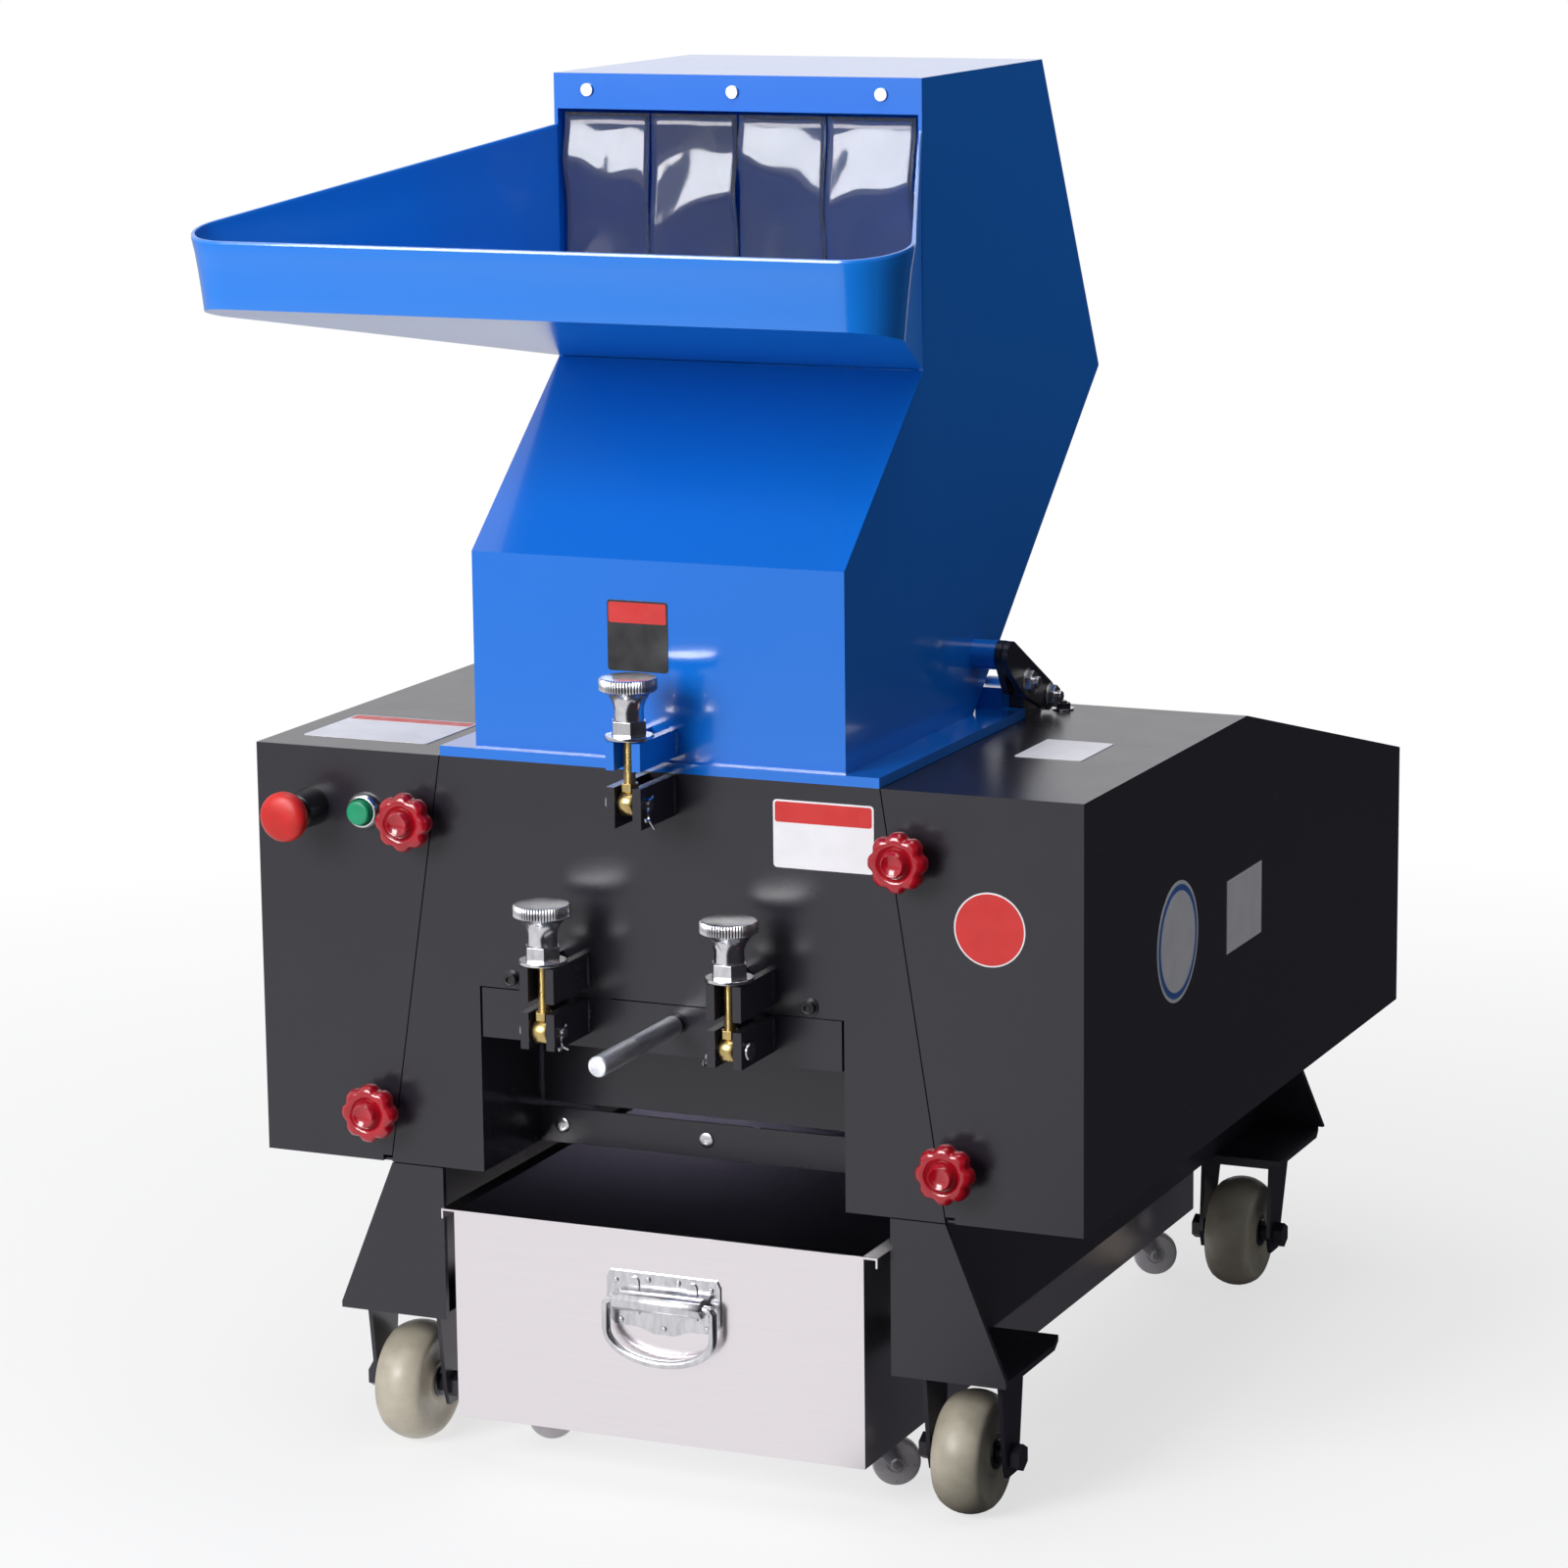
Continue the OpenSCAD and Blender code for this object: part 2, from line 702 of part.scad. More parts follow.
module flywheel() place() color("#6f7278") difference() {
  bar_x(rim_x, flywheel_w, flywheel_r, rotor_y, rotor_z);
  bar_x(rim_x - over, flywheel_w / 3 + over, flywheel_r - flywheel_rim, rotor_y, rotor_z);
  bar_x(rim_x + flywheel_w * 2 / 3, flywheel_w / 3 + over, flywheel_r - flywheel_rim, rotor_y, rotor_z);
  bar_x(rim_x - over, flywheel_w + 2 * over, shaft_r, rotor_y, rotor_z);
}

// Blank plates where the machine carries its signs
label_t = 0.6;
sign_d = 57.6;
sign_x = 275.7;
sign_fall = 102;
plate_x = 98.8;
plate_w = 83.2;
plate_low = 67;
plate_high = 14;
disc_d = 97;
disc_y = 212;
disc_fall = 151;
side_plate_y = 332;
side_plate_w = 87;
side_plate_h = 60;
side_plate_fall = 188;

module label_plates() place() color("#e3c53a") {
  // Front signs: a round one on the right hood and a small plate on the middle panel
  bar_y(-label_t, label_t, sign_d / 2, sign_x, body_h - sign_fall);
  block([plate_x, -label_t, body_h - plate_low], [plate_x + plate_w, 0, body_h - plate_high]);
  // Signs on the right side
  bar_x(half_w, label_t, disc_d / 2, disc_y, body_h - disc_fall);
  block(
    [half_w, side_plate_y, body_h - side_plate_fall],
    [half_w + label_t, side_plate_y + side_plate_w, body_h - side_plate_fall + side_plate_h]
  );
}

// Screws: hood bolts, socket screws of the upper brackets and rivet nuts of the chute
socket_r = 5;
socket_h = 3;
socket_x = 127.5;
socket_fall = 175;
rivet_nut_r = 6;
rivet_nut_x = [-136, -8, 120];

module panel_fasteners() place() color("#55585e") {
  both() {
    bar_y(-socket_h, socket_h, socket_r, socket_x, body_h - socket_fall);
    translate([centre_top_w / 2 + star_in, flat_d - 5 * socket_r, body_h])
      cylinder(r = socket_r, h = socket_h, $fn = 6);
  }
  for (x = rivet_nut_x)
    bar_y(recess_d - socket_h / 2, socket_h / 2, rivet_nut_r, x, skirt_z + chute_ledge_h / 2);
}
star_in = 15;

// Star knobs that hold the hoods, on studs through the hood fronts
stud_r = 4;
star_reach = 35;
star_h = 20;
star_stem_r = 11;
lobes = 7;
lobe_share = 0.14;
star_falls = [51, 290];
star_z = body_h * [1, 1] - star_falls;
function seam_x(z) = (centre_low_w + (centre_top_w - centre_low_w) * (z - skirt_z) / panel_h) / 2;
function star_x(z) = seam_x(z) + star_in;

module star_knob(side, z) place() translate([side * star_x(z), 0, z]) rotate([90, 0, 0]) {
  color("#c9281f") {
    translate([0, 0, star_reach - star_h]) linear_extrude(star_h) {
      circle(r = star_d * (0.5 - lobe_share));
      for (i = [0 : lobes - 1]) rotate(i * 360 / lobes)
        translate([star_d * (0.5 - lobe_share), 0]) circle(r = star_d * lobe_share);
    }
    translate([0, 0, pass]) cylinder(r = star_stem_r, h = star_reach - star_h);
  }
  color("#9a9ca1") translate([0, 0, -star_h]) cylinder(r = stud_r, h = star_h + star_reach / 2);
}

module star_knob_left_high() star_knob(-1, star_z[0]);
module star_knob_left_low() star_knob(-1, star_z[1]);
module star_knob_right_high() star_knob(1, star_z[0]);
module star_knob_right_low() star_knob(1, star_z[1]);

// Hopper: one welded box with its flange, latch bracket, hinge ears and stay boss
hopper_outline = [
  [throat_y, body_h + flange_t], [base_back_y, body_h + flange_t], [corner_y, body_h + corner_h],
  [roof_back_y, top_z], [mouth_y, top_z], [mouth_y, mouth_z], [throat_y, body_h + throat_h]
];
inner_w = hopper_w - 2 * hopper_t;
top_bracket_rise = 12;
top_bracket_h = 22;
stay_boss_y = 273;
stay_boss_rise = 57;
stay_r = 12;

module hopper() place() color("#1f62c4") {
  difference() {
    union() {
      across(-hopper_w / 2, hopper_w) polygon(hopper_outline);
      block([-centre_top_w / 2, 0, body_h], [centre_top_w / 2, flange_d, body_h + flange_t]);
    }
    across(-inner_w / 2, inner_w) polygon(inset(hopper_outline, hopper_t));
    // Outlet to the rotor
    block(
      [-inner_w / 2, throat_y + hopper_t, body_h - over],
      [inner_w / 2, base_back_y - hopper_t, body_h + flange_t + 2 * hopper_t]
    );
    // Mouth under the lip
    block([-inner_w / 2, mouth_y - over, mouth_z], [inner_w / 2, mouth_y + 2 * hopper_t, top_z - lip_h]);
  }
  fork(top_bolt_x, body_h + top_bracket_rise, top_bracket_h, throat_y);
  both() difference() {
    union() {
      block(
        [lug_x - ear_gap - ear_w, flange_d - lug_w / 2, body_h + flange_t / 2],
        [lug_x - ear_gap, hinge_y, hinge_z + flange_t]
      );
      bar_x(lug_x - ear_gap - ear_w, ear_w, lug_w / 2 - over, hinge_y, hinge_z);
    }
    bar_x(lug_x - 2 * ear_w, 3 * ear_w, hinge_pin_r + run, hinge_y, hinge_z);
  }
  // Boss and bolt of the upper stay
  bar_x(hopper_w / 2, upper_stay_x - pass - hopper_w / 2, stay_r, stay_boss_y, body_h + stay_boss_rise);
  bar_x(
    hopper_w / 2, upper_stay_x + 2 * stay_t - hopper_w / 2,
    stay_pin_r, stay_boss_y, body_h + stay_boss_rise
  );
  bar_x(upper_stay_x + stay_t + pass, stay_t, stay_pin_r * head_share, stay_boss_y, body_h + stay_boss_rise);
}

// Stays that open with the hopper
elbow_y = 287.4;
elbow_rise = 34.1;
stay_end_y = 255;
stay_end_rise = 60;

// A flat strap over points in Y and height above the body
module strap(x, points) across(x, stay_t) hull() for (c = points)
  translate([c.x, body_h + c.y]) circle(r = stay_r);

module upper_stay() place() color("#26262a") difference() {
  strap(upper_stay_x, [[stay_boss_y, stay_boss_rise], [elbow_y, elbow_rise]]);
  bar_x(upper_stay_x - over, stay_t + 2 * over, stay_pin_r + run, stay_boss_y, body_h + stay_boss_rise);
  bar_x(upper_stay_x - over, stay_t + 2 * over, stay_pin_r + slack, elbow_y, body_h + elbow_rise);
}

module lower_stay() place() color("#26262a") {
  difference() {
    strap(lower_stay_x, [[stay_y, stay_rise], [elbow_y, elbow_rise], [stay_end_y, stay_end_rise]]);
    bar_x(lower_stay_x - over, stay_t + 2 * over, stay_pin_r + run, stay_y, body_h + stay_rise);
  }
  bar_x(upper_stay_x, lower_stay_x - upper_stay_x, stay_pin_r, elbow_y, body_h + elbow_rise);
}

// Feed tray: a folded pan welded to the mouth
tray_plan = [
  [-tray_w / 2, -tray_reach], [tray_w / 2, -tray_reach], [hopper_w / 2, mouth_y], [-hopper_w / 2, mouth_y]
];
tray_side = [
  [-tray_reach, body_h + tray_h - strip_h], [mouth_y, mouth_z], [mouth_y, body_h + wing_h],
  [-tray_reach, body_h + tray_h]
];

// Plan of the tray with round front corners
module round_front(p, r) {
  e = (p[0] - p[1]) / norm(p[0] - p[1]);
  f = (p[2] - p[1]) / norm(p[2] - p[1]);
  half = acos(e * f) / 2;
  c = p[1] + (e + f) / norm(e + f) * r / sin(half);
  polygon([
    [-(p[1] + e * r / tan(half)).x, p[1].y], p[1] + e * r / tan(half), p[1] + f * r / tan(half),
    p[2], [-p[2].x, p[2].y], [-(p[1] + f * r / tan(half)).x, (p[1] + f * r / tan(half)).y]
  ]);
  for (i = [-1, 1]) translate([i * c.x, c.y]) circle(r = r);
}

module feed_tray() place() color("#2a74d8") intersection() {
  across(-tray_w, 2 * tray_w) polygon(tray_side);
  difference() {
    translate([0, 0, body_h]) linear_extrude(hopper_h) round_front(tray_plan, tray_r);
    intersection() {
      across(-tray_w, 2 * tray_w) translate([0, hopper_t]) polygon([
        tray_side[0] - [hopper_t, 0], tray_side[1] + [hopper_t, 0],
        [mouth_y + hopper_t, top_z], [-tray_reach - hopper_t, top_z]
      ]);
      translate([0, 0, body_h]) linear_extrude(hopper_h + over) {
        q = inset(tray_plan, hopper_t);
        round_front([q[0], q[1], q[2] + (q[2] - q[1]) / 20, q[3]], tray_r - hopper_t);
      }
    }
  }
}

// Clamp rail of the curtain with its rivets
rivet_r = 5;
rivet_h = 2;
rivet_fall = 13;
rivet_pitch = 125.5;
rail_t = 4;
curtain_t = 3;
strips = 4;
strip_gap = 2;
curtain_y = mouth_y + hopper_t;
curtain_side = 4;
hem = 3;
curtain_w = inner_w - 2 * curtain_side;

module curtain_rail() place() color("#b9bcc2") {
  block(
    [-curtain_w / 2, curtain_y, top_z - lip_h],
    [curtain_w / 2, curtain_y + rail_t + curtain_t, top_z - hopper_t]
  );
  for (i = [-1 : 1])
    bar_y(mouth_y - rivet_h, rivet_h, rivet_r, i * rivet_pitch - rivet_h, top_z - rivet_fall);
}

module curtain() place() color([0.8, 0.85, 0.9, 0.5]) for (i = [0 : strips - 1]) {
  w = (curtain_w + strip_gap) / strips;
  block(
    [-curtain_w / 2 + i * w, curtain_y + pass, mouth_z + 2 * hopper_t],
    [-curtain_w / 2 + (i + 1) * w - strip_gap, curtain_y + curtain_t, top_z - lip_h - hem]
  );
}

// Latches: eye bolt, knob with nut and washer, pin with its spring clip
eye_r = 10;
eye_w = 12;
bolt_rise = 1.5;
stem_share = 0.8;
clip_r = 7;
clip_t = 1.2;

// Eye bolt whose pin is at height z and whose knob sits at height seat
module eye_bolt(x, z, seat) difference() {
  union() {
    bar_x(x - eye_w / 2, eye_w, eye_r, -bolt_y, z);
    translate([x, -bolt_y, z]) cylinder(r = bolt_r, h = seat - z + stack_h * stem_share);
  }
  bar_x(x - eye_w, 2 * eye_w, bolt_r + run, -bolt_y, z);
}

// Washer, hexagon nut, neck, cone and knurled disc
washer_share = 0.062;
nut_share = 0.235;
neck_share = 0.27;
cone_share = 0.215;
neck_r_share = 0.27;
cone_r_share = 0.42;

module latch_knob(x, seat) translate([x, -bolt_y, seat]) difference() {
  union() {
    cylinder(r = washer_d / 2, h = stack_h * washer_share);
    translate([0, 0, stack_h * washer_share]) cylinder(r = knob_d / 3, h = stack_h * nut_share, $fn = 6);
    translate([0, 0, stack_h * (washer_share + nut_share)])
      cylinder(r = knob_d * neck_r_share, h = stack_h * neck_share);
    translate([0, 0, stack_h * (washer_share + nut_share + neck_share)])
      cylinder(r1 = knob_d * neck_r_share, r2 = knob_d * cone_r_share, h = stack_h * cone_share);
    translate([0, 0, stack_h * (washer_share + nut_share + neck_share + cone_share)])
      cylinder(r = knob_d / 2, h = stack_h * (1 - washer_share - nut_share - neck_share - cone_share));
  }
  translate([0, 0, -over]) cylinder(r = bolt_r + slack, h = stack_h * stem_share + 2 * over);
}

// Pin through a bracket with a ring clip on one end
module latch_pin(x, z, side) {
  half = fork_gap / 2 + arm_t;
  bar_x(x - half - clip_r / 2, 2 * half + clip_r, bolt_r, -bolt_y, z);
  translate([x + side * (half + clip_r / 4), -bolt_y, z - clip_r]) rotate([0, 90, 0])
    rotate_extrude() translate([clip_r, 0]) circle(r = clip_t);
}

top_seat = body_h + top_bracket_rise + top_bracket_h + bolt_rise;
low_pin_fall = 17.4;
low_pin_z = notch_z - low_pin_fall;
low_seat = fixed_low_z + low_bracket_h + bolt_rise;

module top_eye_bolt() place() color("#c9a24a") eye_bolt(top_bolt_x, top_pin_z, top_seat);
module left_eye_bolt() place() color("#c9a24a") eye_bolt(left_bolt_x, low_pin_z, low_seat);
module right_eye_bolt() place() color("#c9a24a") eye_bolt(right_bolt_x, low_pin_z, low_seat);
module top_knob() place() color("#a9abb0") latch_knob(top_bolt_x, top_seat);
module left_knob() place() color("#a9abb0") latch_knob(left_bolt_x, low_seat);
module right_knob() place() color("#a9abb0") latch_knob(right_bolt_x, low_seat);
module top_latch_pin() place() color("#b9bcc2") latch_pin(top_bolt_x, top_pin_z, 1);
module cradle_pins() place() color("#b9bcc2") {
  latch_pin(left_bolt_x, low_pin_z, 1);
  latch_pin(right_bolt_x, low_pin_z, -1);
}

// Screen cradle: front bar with the two moving brackets and the handle, ribs, skirt and pivot shaft
bar_h = 40;
bar_t = 6;
side_gap = 2;
rib_t = 8;
rib_low = 25;
rib_front = 27;
rib_top = 24;
low_fork_h = 29;
low_fork_fall = 30;
handle_x = 14;
handle_fall = 16;
handle_reach = 140;
handle_r = 7.7;
skirt_y = 106;
skirt_fall = 119;
ribs = 4;
screen_back_a = 40;
screen_front_a = 15;
carry_r = screen_r + screen_t + run;

module screen_cradle() place() color("#2f2d33") {
  block(
    [-chamber_x + side_gap, 0, notch_z - seam_gap - bar_h],
    [chamber_x - side_gap, bar_t, notch_z - seam_gap]
  );
  for (x = [left_bolt_x, right_bolt_x]) difference() {
    fork(x, notch_z - low_fork_fall, low_fork_h, 0);
    bar_x(x - fork_gap - arm_t, 2 * (fork_gap + arm_t), bolt_r + run, -bolt_y, low_pin_z);
  }
  bar_y(-handle_reach, handle_reach, handle_r, handle_x, notch_z - handle_fall);
  for (i = [0 : ribs - 1])
    across(-chamber_x + side_gap + i * (notch_w - 2 * side_gap - rib_t) / (ribs - 1), rib_t) difference() {
      polygon([
        [bar_t, notch_z - rib_low], [cradle_pivot_y, notch_z - rib_low],
        [cradle_pivot_y, cradle_pivot_z + pivot_r],
        [rotor_y + carry_r * cos(screen_back_a) + bar_t, rotor_z - carry_r * sin(screen_back_a) - side_gap],
        [rotor_y - carry_r * cos(screen_front_a) + bar_t, rotor_z - rib_top],
        [rib_front, rotor_z - rib_top], [rib_front, notch_z - seam_gap], [bar_t, notch_z - seam_gap]
      ]);
      translate([rotor_y, rotor_z]) circle(r = carry_r);
    }
  block(
    [-chamber_x + side_gap, skirt_y, notch_z - skirt_fall],
    [chamber_x - side_gap, skirt_y + sheet_t, notch_z - rib_low]
  );
  bar_x(-chamber_x - side_t, notch_w + 2 * side_t, pivot_r, cradle_pivot_y, cradle_pivot_z);
}

// Perforated screen in the cradle
mesh_pitch = 18;
mesh_step = 12;
screen_half = 150;

module screen() place() color("#9a9ca1") difference() {
  across(-screen_half, 2 * screen_half) translate([rotor_y, rotor_z]) intersection() {
    difference() {
      circle(r = screen_r + screen_t);
      circle(r = screen_r);
    }
    polygon([[0, 0], for (i = [0 : 5])
      2 * screen_r * [
        cos(180 + screen_front_a + i * (180 - screen_front_a - screen_back_a) / 5),
        sin(180 + screen_front_a + i * (180 - screen_front_a - screen_back_a) / 5)
      ]
    ]);
  }
  for (a = [180 + screen_front_a + mesh_step / 2 : mesh_step : 360 - screen_back_a - mesh_step / 2],
      x = [-screen_half + mesh_pitch / 2 : mesh_pitch : screen_half - mesh_pitch / 2])
    translate([x, rotor_y, rotor_z]) rotate([a, 0, 0]) translate([0, screen_r - over, 0])
      rotate([-90, 0, 0]) cylinder(r = mesh_d / 2, h = screen_t + 2 * over);
}

// Bin with its rim, handle plate and bail
rim_t = 1.5;
rim_fold = 8;

module bin() place() color("#c9c4c0") {
  difference() {
    block([-bin_w / 2, -bin_front, bin_z], [bin_w / 2, bin_d - bin_front, bin_z + bin_h]);
    block(
      [-bin_w / 2 + bin_t, -bin_front + bin_t, bin_z + bin_t],
      [bin_w / 2 - bin_t, bin_d - bin_front - bin_t, bin_z + bin_h + over]
    );
  }
  both() {
    block([bin_w / 2, -bin_front, bin_z + bin_h - rim_t], [rim_w / 2, bin_d - bin_front, bin_z + bin_h]);
    block(
      [rim_w / 2 - rim_t, -bin_front, bin_z + bin_h - rim_fold],
      [rim_w / 2, bin_d - bin_front, bin_z + bin_h - rim_t]
    );
    for (y = bin_caster_y)
      block(
        [bin_caster_x - race_r, y - race_r, bin_z - caster_plate_t],
        [bin_caster_x + race_r, y + race_r, bin_z]
      );
  }
}

handle_w = 98;
handle_mid = 7;
handle_top = 182;
handle_low = 133;
handle_t = 2;
bail_r = 3.5;
bail_y = 24;
bail_z = 161;
bail_low = 112;
bail_w = 92;
tube_r = 8;
tube_w = 76;

module bin_handle() place() color("#b9bcc2") difference() {
  union() {
    block(
      [handle_mid - handle_w / 2, -bin_front - handle_t, handle_low],
      [handle_mid + handle_w / 2, -bin_front, handle_top]
    );
    bar_x(handle_mid - tube_w / 2, tube_w, tube_r, -bail_y, bail_z);
  }
  bar_x(handle_mid - handle_w, 2 * handle_w, bail_r + run, -bail_y, bail_z);
}

module bin_bail() place() color("#d0d2d6") translate([handle_mid, -bail_y, 0]) {
  bar_x(-bail_w / 2, bail_w, bail_r, 0, bail_z);
  bar_x(-bail_w / 2, bail_w, bail_r, 0, bail_low);
  for (i = [-1, 1]) translate([i * bail_w / 2, 0, 0]) {
    translate([0, 0, bail_low]) cylinder(r = bail_r, h = bail_z - bail_low);
    translate([0, 0, bail_low]) sphere(r = bail_r);
    translate([0, 0, bail_z]) sphere(r = bail_r);
  }
}

// Swivel casters of the bin
caster_plate_t = 1.5;
bin_caster_x = 152;
bin_caster_y = [77, 690];
race_r = 17;
bin_trail = 12;
bin_turn = -66;
small_w = 16;
small_axle_r = 3;
small_arm_t = 2;
small_arm_gap = 1;
small_arm_d = 10;
crown = 2.2;
small_out = small_w / 2 + small_arm_gap + small_arm_t;

module on_bin_caster(side, y) translate([side * bin_caster_x, y, 0]) rotate(bin_turn) children();

module bin_fork() {
  small_r = small_wheel_d / 2;
  translate([0, 0, bin_z - caster_plate_t - crown]) cylinder(r = race_r, h = crown);
  for (i = [-1, 1]) translate([i * (small_w / 2 + small_arm_gap + small_arm_t / 2) - small_arm_t / 2, 0, 0])
    rotate([90, 0, 90]) linear_extrude(small_arm_t) polygon([
      [-small_arm_d, bin_z - caster_plate_t - crown],
      [bin_trail - small_arm_d / 2, small_r - small_arm_d / 2],
      [bin_trail + small_arm_d / 2, small_r - small_arm_d / 2],
      [small_arm_d, bin_z - caster_plate_t - crown]
    ]);
  bar_x(-small_out, 2 * small_out, small_axle_r, bin_trail, small_r);
}

module bin_wheel() difference() {
  bar_x(-small_w / 2, small_w, small_wheel_d / 2, bin_trail, small_wheel_d / 2);
  bar_x(-small_w, 2 * small_w, small_axle_r + run, bin_trail, small_wheel_d / 2);
}

module bin_fork_front_left() place() color("#9a9ca1") on_bin_caster(-1, bin_caster_y[0]) bin_fork();
module bin_fork_front_right() place() color("#9a9ca1") on_bin_caster(1, bin_caster_y[0]) bin_fork();
module bin_fork_rear_left() place() color("#9a9ca1") on_bin_caster(-1, bin_caster_y[1]) bin_fork();
module bin_fork_rear_right() place() color("#9a9ca1") on_bin_caster(1, bin_caster_y[1]) bin_fork();
module bin_wheel_front_left() place() color("#5d6066") on_bin_caster(-1, bin_caster_y[0]) bin_wheel();
module bin_wheel_front_right() place() color("#5d6066") on_bin_caster(1, bin_caster_y[0]) bin_wheel();
module bin_wheel_rear_left() place() color("#5d6066") on_bin_caster(-1, bin_caster_y[1]) bin_wheel();
module bin_wheel_rear_right() place() color("#5d6066") on_bin_caster(1, bin_caster_y[1]) bin_wheel();

// Machine wheels with a barrel-shaped tread
module machine_wheel() difference() {
  intersection() {
    translate([0, 0, wheel_z]) rotate([0, 90, 0]) sphere(r = wheel_d / 2);
    bar_x(-wheel_w / 2, wheel_w, wheel_d, 0, wheel_z);
  }
  bar_x(-wheel_w, 2 * wheel_w, axle_r + run, 0, wheel_z);
}

module front_wheel_left() place() color("#c2a878") translate([-wheel_x, front_wheel_y, 0]) machine_wheel();
module front_wheel_right() place() color("#c2a878") translate([wheel_x, front_wheel_y, 0]) machine_wheel();
module on_rear_axle(side) place() translate([side * wheel_x, rear_swivel_y - trail, 0]) children();

module rear_wheel_left() color("#c2a878") on_rear_axle(-1) machine_wheel();
module rear_wheel_right() color("#c2a878") on_rear_axle(1) machine_wheel();
module rear_fork_left() color("#26262a") on_rear_axle(-1) wheel_fork(fork_d, trail);
module rear_fork_right() color("#26262a") on_rear_axle(1) wheel_fork(fork_d, trail);

stand();
chamber();
bed_knives();
bearings();
front_panel();
left_hood();
right_hood();
rear_cover();
hinge_lugs();
front_forks();
switch_housings();
motor();
drive_belts();
label_plates();
panel_fasteners();
top_latch_pin();
hopper();
feed_tray();
curtain_rail();
curtain();
upper_stay();
lower_stay();
top_eye_bolt();
top_knob();
screen_cradle();
screen();
cradle_pins();
left_eye_bolt();
left_knob();
right_eye_bolt();
right_knob();
rotor_shaft();
rotor_knives();
rotor_pulley();
flywheel();
motor_pulley();
star_knob_left_high();
star_knob_left_low();
star_knob_right_high();
star_knob_right_low();
stop_button();
start_button();
bin();
bin_handle();
bin_bail();
bin_fork_front_left();
bin_fork_front_right();
bin_fork_rear_left();
bin_fork_rear_right();
bin_wheel_front_left();
bin_wheel_front_right();
bin_wheel_rear_left();
bin_wheel_rear_right();
front_wheel_left();
front_wheel_right();
rear_fork_left();
rear_fork_right();
rear_wheel_left();
rear_wheel_right();
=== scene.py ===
"""Looks of the plastic granulator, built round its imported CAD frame."""
import math
import random

import bmesh
import bpy
from mathutils import Matrix, Vector


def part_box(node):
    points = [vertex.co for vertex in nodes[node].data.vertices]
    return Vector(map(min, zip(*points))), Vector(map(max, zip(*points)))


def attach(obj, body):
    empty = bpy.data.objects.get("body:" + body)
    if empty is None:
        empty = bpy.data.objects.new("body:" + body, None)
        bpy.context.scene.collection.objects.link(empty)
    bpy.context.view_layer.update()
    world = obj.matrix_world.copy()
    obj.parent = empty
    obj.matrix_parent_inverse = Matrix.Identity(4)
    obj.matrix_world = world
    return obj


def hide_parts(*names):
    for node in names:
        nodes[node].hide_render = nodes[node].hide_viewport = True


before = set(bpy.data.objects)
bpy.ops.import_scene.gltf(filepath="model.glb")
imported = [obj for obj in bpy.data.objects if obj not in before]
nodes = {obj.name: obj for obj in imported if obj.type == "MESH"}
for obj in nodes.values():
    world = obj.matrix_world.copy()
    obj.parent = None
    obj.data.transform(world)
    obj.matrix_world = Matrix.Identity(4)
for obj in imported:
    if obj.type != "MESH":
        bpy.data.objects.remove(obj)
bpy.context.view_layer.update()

MM = 0.001
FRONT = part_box("left_hood")[0].y


def at(x, y, z):
    """A point in millimetres from the middle of the front panel's foot line, y going backwards."""
    return Vector((x * MM, FRONT + y * MM, z * MM))


# Materials

# Scales of the noises, in waves a metre: tone, gloss and relief of each kind of surface
PAINT_TONE, PAINT_GLOSS, PAINT_PEEL = 9, 23, 620
METAL_TONE, METAL_GLOSS, METAL_LINES = 60, 14, 160
PLASTIC_TONE, PLASTIC_GLOSS, PLASTIC_GRAIN = 45, 80, 1500
# Share of the worn colour in the cloudy spots of a paint
PAINT_WEAR = 0.06
# Depth in metres of the relief on paint, plastic and rubber
PEEL = 0.00002


def srgb(red, green, blue):
    """A colour read from 0 to 255 as linear values, by the sRGB curve."""
    return tuple(c / 255 / 12.92 if c < 11 else ((c / 255 + 0.055) / 1.055) ** 2.4
                 for c in (red, green, blue))


def new_material(name, colour, roughness, **sockets):
    """A material with its colour and numbers on the shader's own sockets."""
    made = bpy.data.materials.new(name)
    made.use_nodes = True
    shader = made.node_tree.nodes["Principled BSDF"]
    shader.inputs["Base Color"].default_value = (*colour, 1)
    shader.inputs["Roughness"].default_value = roughness
    for socket, value in sockets.items():
        shader.inputs[socket.replace("_", " ")].default_value = value
    return made


def add(tree, kind, operation=None, **sockets):
    """A new node with values on its sockets."""
    made = tree.nodes.new("ShaderNode" + kind)
    if operation:
        made.operation = operation
    for socket, value in sockets.items():
        made.inputs[socket.replace("_", " ")].default_value = value
    return made


def to_shader(mat, output, socket):
    """Links a node's output to a socket of the material's shader."""
    mat.node_tree.links.new(output, mat.node_tree.nodes["Principled BSDF"].inputs[socket])


def ramp(tree, value, low, high):
    """The colour that a value gives between two pairs of position and colour."""
    made = add(tree, "ValToRGB")
    for stop, (position, colour) in enumerate((low, high)):
        made.color_ramp.elements[stop].position = position
        made.color_ramp.elements[stop].color = (*colour, 1)
    tree.links.new(value, made.inputs["Fac"])
    return made.outputs["Color"]


def noise(mat, scale, stretch=(1, 1, 1), detail=4):
    """Noise from 0 to 1 in the piece's own coordinates."""
    tree = mat.node_tree
    where = add(tree, "TexCoord")
    size = add(tree, "Mapping", Scale=stretch)
    grain = add(tree, "TexNoise", Scale=scale, Detail=detail)
    tree.links.new(where.outputs["Object"], size.inputs["Vector"])
    tree.links.new(size.outputs["Vector"], grain.inputs["Vector"])
    return grain.outputs["Fac"]


